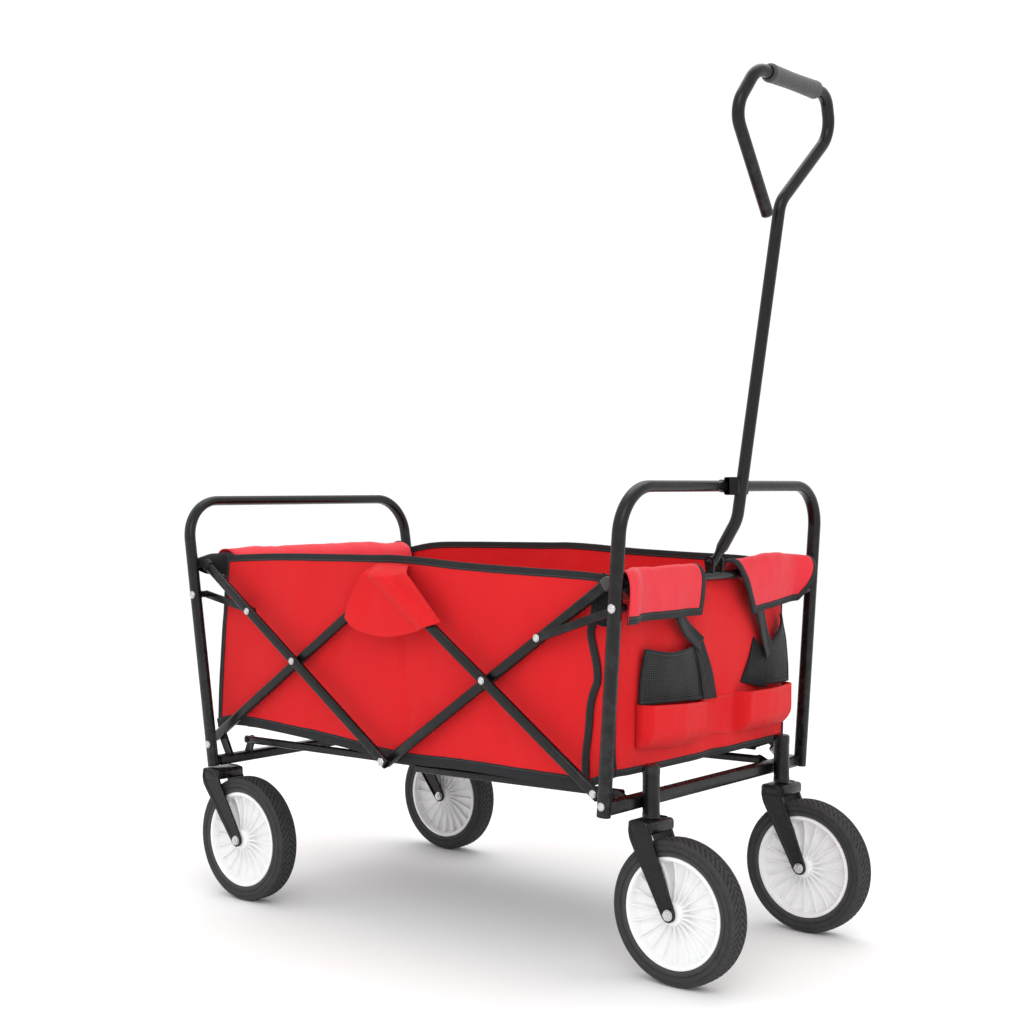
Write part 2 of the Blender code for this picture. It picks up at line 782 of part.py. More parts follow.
def wheel(name, axle, middle_y):
    centre = (axle[0], middle_y, axle[1])
    rim = new_object(name.replace("wheel", "rim"), rim_mesh(), white_plastic())
    tyre = new_object(name.replace("wheel", "tyre"), tyre_mesh(), tyre_rubber())
    for piece in (rim, tyre):
        piece.location = centre
    return rim, tyre


def caster_housing(word, side):
    """The upright sleeve that the caster's kingpin turns in, closed on top."""
    base = FRONT_CROWN[1] + CROWN_HEIGHT / 2 + RUN
    roof = HOUSING_TOP - 0.0025
    outline = [
        (0.0, roof),
        (HOUSING_BORE, roof),
        (HOUSING_BORE, base),
        (HOUSING_RADIUS, base),
        (HOUSING_RADIUS, HOUSING_TOP - 0.002),
        (HOUSING_RADIUS - 0.002, HOUSING_TOP),
        (0.0, HOUSING_TOP),
    ]
    housing = new_object("caster_housing_" + word, turned(outline, 20, axis="Z"), black_paint())
    housing.location = (CASTER_X, side * CASTER_Y, 0)
    return housing


# ---- pull handle ---------------------------------------------------------------------------------
def loop_place(across, up):
    """A point of the loop, from its place across the wagon and up the shaft."""
    return (
        HANDLE_CLIP[0] + up * math.sin(HANDLE_LEAN),
        across,
        HANDLE_CLIP[1] + up * math.cos(HANDLE_LEAN),
    )


def lower_shaft():
    """The shaft's lower stretch in the wagon's middle plane, from the pivot to above the clip."""
    corners = [
        ((HANDLE_PIVOT[0], 0, HANDLE_PIVOT[1]), 0),
        ((HANDLE_KNEE[0], 0, HANDLE_KNEE[1]), 0.050),
        (loop_place(0, 0.10), 0),
    ]
    path = rounded_path(corners, steps=5)
    thin = NECK_RADIUS / HANDLE_RADIUS
    first = path[0] + (path[1] - path[0]).normalized() * 0.014
    second = path[0] + (path[1] - path[0]).normalized() * 0.024
    path = [path[0], first, second] + path[1:]
    scales = [(thin, 1.0), (thin, 1.0)] + [(1.0, 1.0)] * (len(path) - 2)
    return path, scales


def handle_shaft():
    """One bent tube: flattened foot, knee, shaft and the open loop of the pull."""
    profile = ring_of_points(HANDLE_RADIUS, 12)
    path, scales = lower_shaft()
    shaft = new_object("handle_shaft", sweep(path, profile, (0, 1, 0), scales), black_paint())
    corners = [(loop_place(0, 0.09), 0)]
    corners += [(loop_place(across, up), radius) for across, up, radius in LOOP]
    corners += [(loop_place(*LOOP_END), 0)]
    loop = rounded_path(corners, steps=5)
    normal = (math.cos(HANDLE_LEAN), 0, -math.sin(HANDLE_LEAN))
    shaft = union(shaft, sweep(loop, profile, normal))
    x, z = HANDLE_PIVOT
    shaft = union(shaft, pin(NECK_RADIUS, (x, -FOOT_HALF, z), (x, FOOT_HALF, z), steps=14))
    drill = pin(HANDLE_BOLT_RADIUS + GAP, (x, -DRILL_HALF, z), (x, DRILL_HALF, z))
    shaft = cut(shaft, drill)
    return move_origin(shaft, (x, 0, z))


def handle_bolt():
    reach = EAR_GAP - 0.0007
    pivot = (HANDLE_PIVOT[0], 0, HANDLE_PIVOT[1])
    bm = pin(HANDLE_BOLT_RADIUS, (pivot[0], -reach, pivot[2]), (pivot[0], reach, pivot[2]))
    return move_origin(new_object("handle_bolt", bm, bright_steel()), pivot)


def handle_grip():
    """A foam sleeve on the straight top of the loop."""
    x, _, z = loop_place(0, LOOP[2][1])
    bore = HANDLE_RADIUS + GAP
    outline = [
        (bore, -GRIP_HALF),
        (GRIP_RADIUS - 0.001, -GRIP_HALF),
        (GRIP_RADIUS, -GRIP_HALF + 0.001),
        (GRIP_RADIUS, GRIP_HALF - 0.001),
        (GRIP_RADIUS - 0.001, GRIP_HALF),
        (bore, GRIP_HALF),
    ]
    grip = new_object("handle_grip", turned(outline, 20), grip_foam())
    grip.location = (x, -0.010, z)
    return grip


def handle_clip():
    """A plastic saddle on the top bar. Its two cheeks hold the shaft and are open to the front."""
    bar_x = upright_x("front", FRONT_TOP)
    hole_profile = stadium(TUBE_DEPTH + 2 * GAP, TUBE_WIDTH + 2 * GAP)
    lean = Matrix.Rotation(-math.atan(FRONT_LEAN), 2)
    low, high = -CLIP_HEIGHT / 2, CLIP_HEIGHT / 2
    plate = [
        (CLIP_BACK, low),
        (CLIP_TIP - CLIP_CHAMFER, low),
        (CLIP_TIP, low + CLIP_CHAMFER),
        (CLIP_TIP, high - CLIP_CHAMFER),
        (CLIP_TIP - CLIP_CHAMFER, high),
        (CLIP_BACK, high),
    ]
    saddle = [(CLIP_BACK, -0.0095), (0.0105, -0.0095), (0.0105, 0.0095), (CLIP_BACK, 0.0095)]
    inner = HANDLE_RADIUS + RUN
    clip = new_object("handle_clip", prism(saddle, -inner - 0.003, inner + 0.003), grey_plastic())
    cheeks = [prism(plate, *sorted((side * inner, side * CLIP_HALF))) for side in SIDES.values()]
    clip = union(clip, *cheeks)
    tunnel = [tuple(lean @ Vector((u, v))) for u, v in hole_profile]
    clip = cut(clip, prism(tunnel, -0.05, 0.05))
    clip.location = (bar_x, 0, FRONT_TOP)
    return clip


# ---- basket --------------------------------------------------------------------------------------
def side_panel(word, side):
    """The basket's long wall: its top edge is highest over the middle of the side."""
    outline = [
        (REAR_PANEL_X, FLOOR_Z),
        (FRONT_PANEL_X, FLOOR_Z),
        (FRONT_PANEL_X - 0.002, SIDE_TOP_FRONT),
        (0.0, SIDE_TOP_MIDDLE),
        (REAR_PANEL_X + 0.002, SIDE_TOP_REAR),
    ]
    edges = sorted((side * (SIDE_Y - CLOTH / 2), side * (SIDE_Y + CLOTH / 2)))
    return new_object("side_panel_" + word, prism(outline, *edges), red_cloth())


def end_panel(end):
    middle = FRONT_PANEL_X if end == "front" else REAR_PANEL_X
    low = (middle - CLOTH / 2, -PANEL_HALF, FLOOR_Z + CLOTH)
    high = (middle + CLOTH / 2, PANEL_HALF, PANEL_TOP)
    panel = new_object(end + "_panel", block(low, high), red_cloth())
    return move_origin(panel, (middle, 0, FLOOR_Z))


def floor_panel():
    low = (REAR_PANEL_X + 0.004, -PANEL_HALF, FLOOR_Z - CLOTH)
    high = (FRONT_PANEL_X - 0.004, PANEL_HALF, FLOOR_Z)
    return new_object("floor_panel", block(low, high), red_cloth())


def hem_flap(name, end, low_y, high_y, front_skirt, back_skirt):
    """Cloth that wraps over the top rail, as a saddle that is open underneath."""
    sign = 1 if end == "front" else -1
    inner, outer = RAIL_RADIUS + 0.0035, RAIL_RADIUS + 0.0035 + FLAP_THICKNESS
    arc = [math.pi * i / 6 for i in range(7)]
    over = [(outer * math.cos(a), outer * math.sin(a)) for a in arc]
    under = [(inner * math.cos(a), inner * math.sin(a)) for a in reversed(arc)]
    outline = (
        [(outer, front_skirt)] + over + [(-outer, back_skirt), (-inner, back_skirt)] + under
        + [(inner, front_skirt)]
    )
    outline = [(sign * (RAIL_X + u), RAIL_Z + v) for u, v in outline]
    return new_object(name, prism(outline, low_y, high_y), red_cloth())


def pocket_band():
    """Two pockets side by side on the front panel, each open on top and taller towards its side."""
    back = FRONT_PANEL_X + CLOTH / 2 + GAP
    front = back + POCKET_DEPTH
    band = new_object("front_pockets", prism(POCKET_OUTLINE, back, front, axis="X"), red_cloth())
    inner = (back + POCKET_WALL, front - POCKET_WALL)
    hollows = [prism(outline, *inner, axis="X") for outline in POCKET_HOLLOWS]
    return cut(band, *hollows)


def joint_flap(word, side):
    """A rounded flap that hangs from the top hem over the side's upper middle joint."""
    arc = [math.pi * i / 8 for i in range(9)]
    depth = SIDE_TOP_MIDDLE - 0.006 - JOINT_FLAP_BOTTOM
    top = SIDE_TOP_MIDDLE - 0.006
    outline = [(JOINT_FLAP_HALF, top)]
    outline += [
        (JOINT_FLAP_HALF * math.cos(a), top - 0.45 * depth - 0.55 * depth * math.sin(a)) for a in arc
    ]
    outline += [(-JOINT_FLAP_HALF, top)]
    edges = sorted((side * (JOINT_FLAP_Y), side * (JOINT_FLAP_Y + CLOTH)))
    return new_object("joint_flap_" + word, prism(outline, *edges), red_cloth())


# ---- assembly ------------------------------------------------------------------------------------
def build_rear():
    end_frame("rear", REAR_FOOT, REAR_TOP)
    cross_tube("rear")
    top_rail("rear")
    axle = (REAR_AXLE_X, WHEEL_RADIUS)
    for word, side in SIDES.items():
        y = side * REAR_WHEEL_Y
        fork("rear_fork_" + word, REAR_CROWN, axle, y, kingpin=False)
        axle_bolt("rear_axle_" + word, axle, y)
        pieces = wheel("rear_wheel_" + word, axle, y)
        spin = joint_empty("joint_rear_wheel_" + word, (axle[0], y, axle[1]), (0, 1, 0))
        hang_on(spin, *pieces)


def build_front():
    end_frame("front", FRONT_FOOT, FRONT_TOP)
    cross_tube("front")
    top_rail("front")
    handle_clip()
    axle = (CASTER_X + CASTER_TRAIL, WHEEL_RADIUS)
    for word, side in SIDES.items():
        y = side * CASTER_Y
        caster_housing(word, side)
        yoke = fork("caster_fork_" + word, FRONT_CROWN, axle, y, kingpin=True)
        bolt = axle_bolt("front_axle_" + word, axle, y)
        pieces = wheel("front_wheel_" + word, axle, y)
        swivel = joint_empty("joint_caster_" + word, (CASTER_X, y, FRONT_CROWN[1]), (0, 0, 1))
        spin = joint_empty("joint_front_wheel_" + word, (axle[0], y, axle[1]), (0, 1, 0))
        hang_on(spin, *pieces)
        hang_on(swivel, yoke, bolt, spin)


def build_handle():
    pivot = joint_empty("joint_handle", (HANDLE_PIVOT[0], 0, HANDLE_PIVOT[1]), (0, 1, 0))
    hang_on(pivot, handle_shaft(), handle_bolt(), handle_grip())


def build_sides():
    for word, side in SIDES.items():
        scissor_side(word, side)
        for end in ("front", "rear"):
            arm_cap(end, word, side)
            link(end, word, side)
            brace(end, word, side)
    hinge_rod()


def build_basket():
    floor_panel()
    for end in ("front", "rear"):
        end_panel(end)
    hem_flap("front_flap_right", "front", -FLAP_END, -0.046, -0.042, -0.012)
    hem_flap("front_flap_left", "front", 0.050, FLAP_END, -0.042, -0.012)
    hem_flap("rear_flap", "rear", -REAR_FLAP_END, REAR_FLAP_END, -0.042, -0.030)
    pocket_band()
    for word, side in SIDES.items():
        side_panel(word, side)
        joint_flap(word, side)


def centre_on_origin():
    """Moves the whole wagon back, so that the origin is under the middle of its length."""
    for obj in bpy.context.scene.objects:
        if obj.parent is None:
            obj.location.x -= MIDDLE_X


clear_scene()
build_rear()
build_front()
build_handle()
build_sides()
build_basket()
centre_on_origin()
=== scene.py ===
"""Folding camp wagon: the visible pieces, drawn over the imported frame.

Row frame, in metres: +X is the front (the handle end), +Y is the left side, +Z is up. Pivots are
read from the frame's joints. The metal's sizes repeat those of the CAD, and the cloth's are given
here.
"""
import json
import math

import bmesh
import bpy
from mathutils import Matrix, Vector, noise


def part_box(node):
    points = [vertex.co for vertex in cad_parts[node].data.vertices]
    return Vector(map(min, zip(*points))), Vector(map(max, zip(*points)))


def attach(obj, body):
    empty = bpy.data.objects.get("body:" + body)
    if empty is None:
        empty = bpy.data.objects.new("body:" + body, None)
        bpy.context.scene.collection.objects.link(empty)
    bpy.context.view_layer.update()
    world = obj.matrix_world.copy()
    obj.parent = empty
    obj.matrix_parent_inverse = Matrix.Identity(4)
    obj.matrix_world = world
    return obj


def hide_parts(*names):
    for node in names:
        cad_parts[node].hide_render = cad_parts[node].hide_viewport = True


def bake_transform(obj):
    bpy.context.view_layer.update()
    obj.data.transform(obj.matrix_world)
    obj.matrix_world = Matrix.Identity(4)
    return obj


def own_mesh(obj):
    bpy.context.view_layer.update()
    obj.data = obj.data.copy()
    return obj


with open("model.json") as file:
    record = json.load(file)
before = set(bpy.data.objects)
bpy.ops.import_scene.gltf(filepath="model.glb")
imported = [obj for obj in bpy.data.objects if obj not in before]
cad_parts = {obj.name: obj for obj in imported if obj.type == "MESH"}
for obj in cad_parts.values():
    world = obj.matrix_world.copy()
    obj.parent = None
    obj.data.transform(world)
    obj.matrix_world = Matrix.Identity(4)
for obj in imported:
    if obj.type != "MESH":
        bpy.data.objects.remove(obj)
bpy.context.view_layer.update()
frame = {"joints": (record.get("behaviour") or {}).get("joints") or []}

SIDES = {"left": 1, "right": -1}
SIGN = {"front": 1, "rear": -1}
joint_at = {j["name"]: Vector(j["pos_m"]) for j in frame["joints"]}

# ---- places from the frame -----------------------------------------------------------------------
REAR_PIVOT = joint_at["fold_left"]
FRONT_PIVOT = joint_at["corner_front"]
SCISSOR_X = -0.0125
MIDDLE_X = (REAR_PIVOT.x + FRONT_PIVOT.x) / 2 - SCISSOR_X
CORNER_X = (FRONT_PIVOT.x - REAR_PIVOT.x) / 2
PIVOT_Z = REAR_PIVOT.z
ARM_RISE = joint_at["top_joint_left"].z - PIVOT_Z
ARM_LENGTH = math.hypot(CORNER_X, ARM_RISE)
INNER_Y = REAR_PIVOT.y
OUTER_Y = joint_at["crossing_rear_left"].y

# ---- sizes ---------------------------------------------------------------------------------------
ARM_HEIGHT, ARM_WIDTH, ARM_END = 0.014, 0.0095, 0.007
ARM_FACE_Y = OUTER_Y + ARM_WIDTH / 2
UPRIGHT_Y = 0.2314
TUBE_DEPTH, TUBE_WIDTH = 0.018, 0.014
UPRIGHT_FACE_Y = UPRIGHT_Y + TUBE_WIDTH / 2 - 0.0003
CORNER_RADIUS = 0.058
LEAN = {"front": 0.065, "rear": -0.157}
FOOT_X = {"front": 0.3667, "rear": -0.3564}
FOOT_Z = {"front": 0.2075, "rear": 0.1888}
TOP_Z = {"front": 0.6016, "rear": 0.579}
CROSS = {"front": (0.3603, 0.2155, 0.018, 0.016), "rear": (-0.348, 0.197, 0.018, 0.014)}
EARS = [(0.1998, 0.0075, 0.0035), (0.1677, 0.006, 0.0026)]
CORNER_RIVET_Y, FOOT_RIVET_Z = 0.1979, 0.221
TUBE_END_Y = 0.2241
RAIL_X = {"front": 0.372, "rear": -0.372}
RAIL_END_X = {"front": 0.3862, "rear": -0.3975}
RAIL_Z, RAIL_RADIUS = 0.486, 0.006
CRANK_Y, CRANK_HALF, CRANK_BEND = 0.1945, 0.0065, 0.007
LINK_HEIGHT, LINK_WIDTH = 0.011, 0.0045
LINK_ALONG = {"front": 0.1125, "rear": 0.1004}
BRACE_X, BRACE_Z = 0.338, 0.2225
BRACE_Y = {"front": 0.162, "rear": 0.174}
BRACE_HEIGHT, BRACE_WIDTH, BRACE_DROP = 0.011, 0.008, 0.0105
BRACE_TIP_Z, ROD_RADIUS = 0.226, 0.004
WHEEL_RADIUS, TYRE_WIDTH, RIM_RADIUS = 0.089, 0.034, 0.0703
HUB_RADIUS, AXLE_RADIUS = 0.014, 0.0042
CROWN_LENGTH, CROWN_HEIGHT = 0.036, 0.016
LEG_INNER, LEG_OUTER, LEG_END_RADIUS = 0.0205, 0.024, 0.0105
CROWN = {"front": (0.3806, 0.1885), "rear": (-0.346, 0.179)}
HOUSING_RADIUS, HOUSING_TOP = 0.011, 0.262
HOUSING_GAP, FORK_SKIN = 0.0005, 0.0008
EYE_RADIUS, BRACKET_RADIUS, BOSS_RADIUS = 0.0078, 0.0075, 0.005
HANDLE_KNEE, HANDLE_CLIP = (0.4055, 0.5585), (0.4115, 0.599)
HANDLE_LEAN = math.atan(0.156)
HANDLE_RADIUS, NECK_RADIUS = 0.0078, 0.005
LOOP = [
    (0.0, 0.362, 0.030),
    (0.099, 0.462, 0.034),
    (0.074, 0.509, 0.028),
    (-0.094, 0.509, 0.032),
    (-0.130, 0.455, 0.030),
]
LOOP_END = (-0.027, 0.345)
GRIP_RADIUS, GRIP_HALF, GRIP_Y = 0.0112, 0.058, -0.010
EAR_GAP, EAR_FACE = 0.0092, 0.0117
RIVET = (0.004, 0.002, 0.005)

# ---- sizes of the basket -------------------------------------------------------------------------
SIDE_Y, SEAM_X = 0.195, 0.328
FLOOR_Z, FLOOR_HALF_Y = 0.2415, 0.1932
FLOOR_NEAR_X, FLOOR_FAR_X, LIP_X = 0.0003, 0.318, 0.317
FLOOR_THICKNESS, COVER_THICKNESS, COVER_DROP = 0.0024, 0.0012, 0.0026
HEM_Z, EDGE_HOLD = 0.505, 0.12
FRONT_WALL_X, REAR_WALL_X = 0.3562, -0.368
REAR_LOW, REAR_MIDDLE, REAR_HIGH = (-0.3800, 0.2425), (-0.3730, 0.36), (-0.3640, 0.483)
REAR_HALF_Y = 0.1925
CLOTH_THICKNESS, TAPE_THICKNESS = 0.0013, 0.0032
TAPE_STEP, TAPE_SWAY = 0.006, 0.0004
YARN, RIB_PITCH = 0.00085, 0.0011
STITCH_PITCH, STITCH_LENGTH, STITCH_INSET, THREAD_RADIUS = 0.0042, 0.0030, 0.0022, 0.00034


def at(x, y, z):
    """A point, with x counted from the middle of the basket's floor."""
    return Vector((MIDDLE_X + x, y, z))


def side_line(places, y):
    """A line in the plane of a side, from its (X, Z) places."""
    return [at(x, y, z) for x, z in places]


def wall_line(places):
    """A line on a flat wall across the wagon, from its (Y, Z) places."""
    return [Vector((0, y, z)) for y, z in places]


# ---- mesh tools ----------------------------------------------------------------------------------
class Part:
    """Points and faces of one shape, with UVs in metres. look is its place among the materials."""

    def __init__(self, points, faces, uvs=None, look=0):
        self.points = [Vector(p) for p in points]
        self.faces = faces
        self.uvs = uvs or [[(0.0, 0.0)] * len(f) for f in faces]
        self.look = look

    def moved(self, matrix):
        return Part([matrix @ p for p in self.points], self.faces, self.uvs, self.look)


def lengths(points):
    """How far along a line of points each of them is."""
    total = [0.0]
    for a, b in zip(points, points[1:]):
        total.append(total[-1] + (b - a).length)
    return total


def grid(rows, wrap=False, caps=False):
    """Quads over rows of points. A wrapped grid closes each row into a ring."""
    wide = len(rows[0])
    middle = rows[len(rows) // 2]
    across = lengths(list(middle) + [middle[0]])
    along = lengths([row[wide // 2] for row in rows])
    faces, uvs = [], []
    for i in range(len(rows) - 1):
        for k in range(wide if wrap else wide - 1):
            m = (k + 1) % wide
            faces.append((i * wide + k, i * wide + m, (i + 1) * wide + m, (i + 1) * wide + k))
            u0, u1, v0, v1 = across[k], across[k + 1], along[i], along[i + 1]
            uvs.append([(u0, v0), (u1, v0), (u1, v1), (u0, v1)])
    if caps:
        last = (len(rows) - 1) * wide
        for cap in (range(wide - 1, -1, -1), range(last, last + wide)):
            faces.append(tuple(cap))
            uvs.append([(0.0, 0.0)] * wide)
    return Part([p for row in rows for p in row], faces, uvs)


def ring(radius, steps, middle=(0.0, 0.0)):
    """A circle of points, anticlockwise."""
    turn = [2 * math.pi * i / steps for i in range(steps)]
    return [(middle[0] + radius * math.cos(a), middle[1] + radius * math.sin(a)) for a in turn]


def half_ring(middle, radius):
    """The upper half of a circle."""
    turn = [math.pi * i / 12 for i in range(13)]
    return [(middle[0] + radius * math.cos(a), middle[1] + radius * math.sin(a)) for a in turn]


def stadium(length, width, steps=8):
    """A flat oval, its long way along the first axis."""
    radius = width / 2
    shift = length / 2 - radius
    half = [-math.pi / 2 + math.pi * i / steps for i in range(steps + 1)]
    right = [(shift + radius * math.cos(a), radius * math.sin(a)) for a in half]
    return right + [(-x, -y) for x, y in right]


def rounded_box(length, height, radius, steps=4):
    """A rectangle's outline with round corners."""
    outline = []
    for sx, sy, first in ((1, 1, 0), (-1, 1, 1), (-1, -1, 2), (1, -1, 3)):
        for i in range(steps + 1):
            a = (first + i / steps) * math.pi / 2
            x = sx * (length / 2 - radius) + radius * math.cos(a)
            outline.append((x, sy * (height / 2 - radius) + radius * math.sin(a)))
    return outline


def rounded_path(corners, steps=16):
    """A path of straight runs and arcs. Each corner is (point, bend radius)."""
    points = [Vector(corners[0][0])]
    for before, here, after in zip(corners, corners[1:], corners[2:]):
        middle, radius = Vector(here[0]), here[1]
        into = (Vector(before[0]) - middle).normalized()
        out = (Vector(after[0]) - middle).normalized()
        half = into.angle(out) / 2
        start = middle + into * (radius / math.tan(half))
        end = middle + out * (radius / math.tan(half))
        centre = middle + (into + out).normalized() * (radius / math.sin(half))
        for i in range(steps + 1):
            spoke = (start - centre).slerp(end - centre, i / steps)
            points.append(centre + spoke.normalized() * radius)
    points.append(Vector(corners[-1][0]))
    return points


def directions(path):
    """The way that a path runs at each of its points."""
    ways = []
    for i, point in enumerate(path):
        ahead = (path[min(i + 1, len(path) - 1)] - point).normalized()
        behind = (point - path[max(i - 1, 0)]).normalized()
        ways.append((ahead + behind).normalized())
    return ways


def sweep(path, profile, normal, scales=None, hollow=0.0, wall=0.0):
    """Carries a profile along a path. With hollow, both ends are open tube to that depth."""
    ways = directions(path)
    up = Vector(normal).normalized()
    rows = []
    for i, (point, way) in enumerate(zip(path, ways)):
        across = way.cross(up).normalized()
        up = across.cross(way).normalized()
        a, b = scales[i] if scales else (1.0, 1.0)
        rows.append([point + across * (u * a) + up * (v * b) for u, v in profile])
    if hollow:
        first = open_end(rows[0], path[0], ways[0], hollow, wall)
        last = open_end(rows[-1], path[-1], -ways[-1], hollow, wall)
        rows = first[::-1] + rows[1:-1] + last
    return grid(rows, wrap=True, caps=True)


def open_end(outer, middle, inward, depth, wall):
    """The rings that turn a tube's end inwards: a rounded lip, then the bore's wall."""
    reach = sum((p - middle).length for p in outer) / len(outer)
    inner = 1 - wall / reach
    rings = [[p + inward * (wall * 0.4) for p in outer]]
    for share, sink in (
        (1 - wall * 0.25 / reach, 0.0),
        (inner + wall * 0.2 / reach, 0.0),
        (inner, wall * 0.3),
        (inner, depth),
    ):
        rings.append([middle + (p - middle) * share + inward * sink for p in outer])
    return rings


def turned(profile, steps, axis="Y"):
    """Turns an open line of (radius, height) about an axis. Its two ends close on the axis."""
    rows = []
    for radius, height in profile:
        circle = ring(max(radius, 1e-5), steps)
        if axis == "Y":
            rows.append([Vector((a, height, b)) for a, b in circle])
        else:
            rows.append([Vector((a, b, height)) for a, b in circle])
    return grid(rows, wrap=True, caps=True)


def pin(radius, low, high, steps):
    """A plain round bar about Y."""
    return turned([(0, low), (radius, low), (radius, high), (0, high)], steps)


def lathe_ring(profile, steps):
    """Turns a closed outline of (radius, height) about Y."""
    rows = []
    for i in range(steps + 1):
        a = 2 * math.pi * i / steps
        rows.append([Vector((r * math.cos(a), h, r * math.sin(a))) for r, h in profile])
    return grid(rows, wrap=True)


def inset(outline, amount):
    """A convex outline, moved inwards by the same amount all round."""
    count = len(outline)
    moved = []
    for i, (x, y) in enumerate(outline):
        ax, ay = outline[i - 1]
        bx, by = outline[(i + 1) % count]
        way = Vector((bx - ax, by - ay)).normalized()
        moved.append((x - way.y * amount, y + way.x * amount))
    return moved


def plate(outline, low, high, edge):
    """A flat plate across Y with rounded edges. Its (X, Z) outline runs anticlockwise."""
    levels = [
        (low, edge),
        (low + edge * 0.3, edge * 0.3),
        (low + edge, 0.0),
        (high - edge, 0.0),
        (high - edge * 0.3, edge * 0.3),
        (high, edge),
    ]
    rows = [[Vector((a, h, b)) for a, b in inset(outline, step)] for h, step in levels]
    return grid(rows, wrap=True, caps=True)


def dished(outline, back, front, rim, depth):
    """A pressed plate: a raised rim all round a sunken face. back and front are along Y."""
    sign = 1 if front > back else -1
    steps = [
        (back, 0.0006),
        (back + sign * 0.0006, 0.0),
        (front - sign * 0.0007, 0.0),
        (front, 0.0007),
        (front, rim - 0.0005),
        (front - sign * 0.0006, rim),
        (front - sign * (depth - 0.0008), rim + 0.0008),
        (front - sign * depth, rim + 0.0018),
    ]
    rows = [[Vector((a, h, b)) for a, b in inset(outline, step)] for h, step in steps]
    return grid(rows, wrap=True, caps=True)


def convex(points):
    """The convex outline round a few points, anticlockwise."""
    points = sorted(set((round(a, 6), round(b, 6)) for a, b in points))

    def chain(sequence):
        line = []
        for p in sequence:
            while len(line) > 1 and turn_of(line[-2], line[-1], p) <= 0:
                line.pop()
            line.append(p)
        return line[:-1]

    return chain(points) + chain(points[::-1])


def turn_of(a, b, c):
    """Above zero where the way from a by b to c turns anticlockwise."""
    return (b[0] - a[0]) * (c[1] - a[1]) - (b[1] - a[1]) * (c[0] - a[0])


def softened(outline, spacing, rounds):
    """An outline with evenly spaced points and its corners rounded off."""
    loop = [Vector((a, b, 0)) for a, b in outline] + [Vector((*outline[0], 0))]
    points = resampled(loop, max(16, int(lengths(loop)[-1] / spacing)))[:-1]
    for _ in range(rounds):
        count = len(points)
        points = [
            (points[i - 1] + points[i] * 2 + points[(i + 1) % count]) / 4 for i in range(count)
        ]
    return [(p.x, p.y) for p in points]


def resampled(points, count):
    """The same line with count steps of equal length."""
    total = lengths(points)
    made, k = [], 0
    for i in range(count + 1):
        want = total[-1] * i / count
        while k < len(points) - 2 and total[k + 1] < want:
            k += 1
        span = max(total[k + 1] - total[k], 1e-12)
        made.append(points[k].lerp(points[k + 1], (want - total[k]) / span))
    return made


def smooth_line(points, count):
    """A Catmull-Rom curve through a few points, as count steps of equal length."""
    points = [Vector(p) for p in points]
    if len(points) == 2:
        return resampled(points, count)
    line = []
    for i in range(len(points) - 1):
        p1, p2 = points[i], points[i + 1]
        p0 = points[i - 1] if i else p1 * 2 - p2
        p3 = points[i + 2] if i + 2 < len(points) else p2 * 2 - p1
        for k in range(12):
            t = k / 12
            line.append(
                (p1 * 2 + (p2 - p0) * t + (p0 * 2 - p1 * 5 + p2 * 4 - p3) * t ** 2
                 + (p1 * 3 - p0 - p2 * 3 + p3) * t ** 3) / 2
            )
    return resampled(line + [points[-1]], count)


def coons(low, high, first, last, rows, columns):
    """A sheet between four edge lines: low and high run across, first and last join their ends."""
    low, high = smooth_line(low, columns), smooth_line(high, columns)
    first, last = smooth_line(first, rows), smooth_line(last, rows)
    made = []
    for i in range(rows + 1):
        v = i / rows
        row = []
        for k in range(columns + 1):
            u = k / columns
            ruled = low[k].lerp(high[k], v) + first[i].lerp(last[i], u)
            corner = low[0].lerp(low[-1], u).lerp(high[0].lerp(high[-1], u), v)
            row.append(ruled - corner)
        made.append(row)
    return made


def bolt_frame(point, side):
    """Turns a shape made about local Y into one that stands on point and faces side."""
    return Matrix.Translation(Vector(point)) @ Matrix.Diagonal((1, side, 1, 1))


def piece(name, parts, looks, body, replaces=(), sharp=38.0, thickness=0.0):
    """Makes the object and shades it. It rides on its body, unless body is None."""
    mesh = bpy.data.meshes.new(name)
    points, faces, uvs, places = [], [], [], []
    for part in parts:
        shift = len(points)
        points += [p[:] for p in part.points]
        faces += [tuple(i + shift for i in f) for f in part.faces]
        uvs += part.uvs
        places += [part.look] * len(part.faces)
    mesh.from_pydata(points, [], faces)
    layer = mesh.uv_layers.new(name="Lengths")
    layer.data.foreach_set("uv", [c for face in uvs for corner in face for c in corner])
    mesh.polygons.foreach_set("material_index", places)
    bm = bmesh.new()
    bm.from_mesh(mesh)
    bmesh.ops.remove_doubles(bm, verts=bm.verts, dist=2e-6)
    bmesh.ops.recalc_face_normals(bm, faces=bm.faces)
    bm.to_mesh(mesh)
    bm.free()
    for look in looks if isinstance(looks, list) else [looks]:
        mesh.materials.append(look)
    mesh.shade_smooth()
    mesh.set_sharp_from_angle(angle=math.radians(sharp))
    made = bpy.data.objects.new(name, mesh)
    bpy.context.scene.collection.objects.link(made)
    if thickness:
        step = made.modifiers.new("thickness", "SOLIDIFY")
        step.thickness = thickness
        step.offset = 0.0
    if body:
        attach(made, body)
    if replaces:
        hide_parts(*replaces)
    return made


def steel(name, parts, body, replaces=()):
    return piece(name, parts, BLACK, body, replaces)


def bright(name, parts, body, replaces=()):
    return piece(name, parts, ZINC, body, replaces)


def cloth(name, rows, look, body, replaces=(), thickness=CLOTH_THICKNESS):
    """One sheet of cloth over rows of points."""
    return piece(name, [grid(rows)], look, body, replaces, thickness=thickness)


def sewn(name, parts, looks, body):
    """Tapes or stitches that belong to a sheet."""
    return piece(name, parts, looks, body)


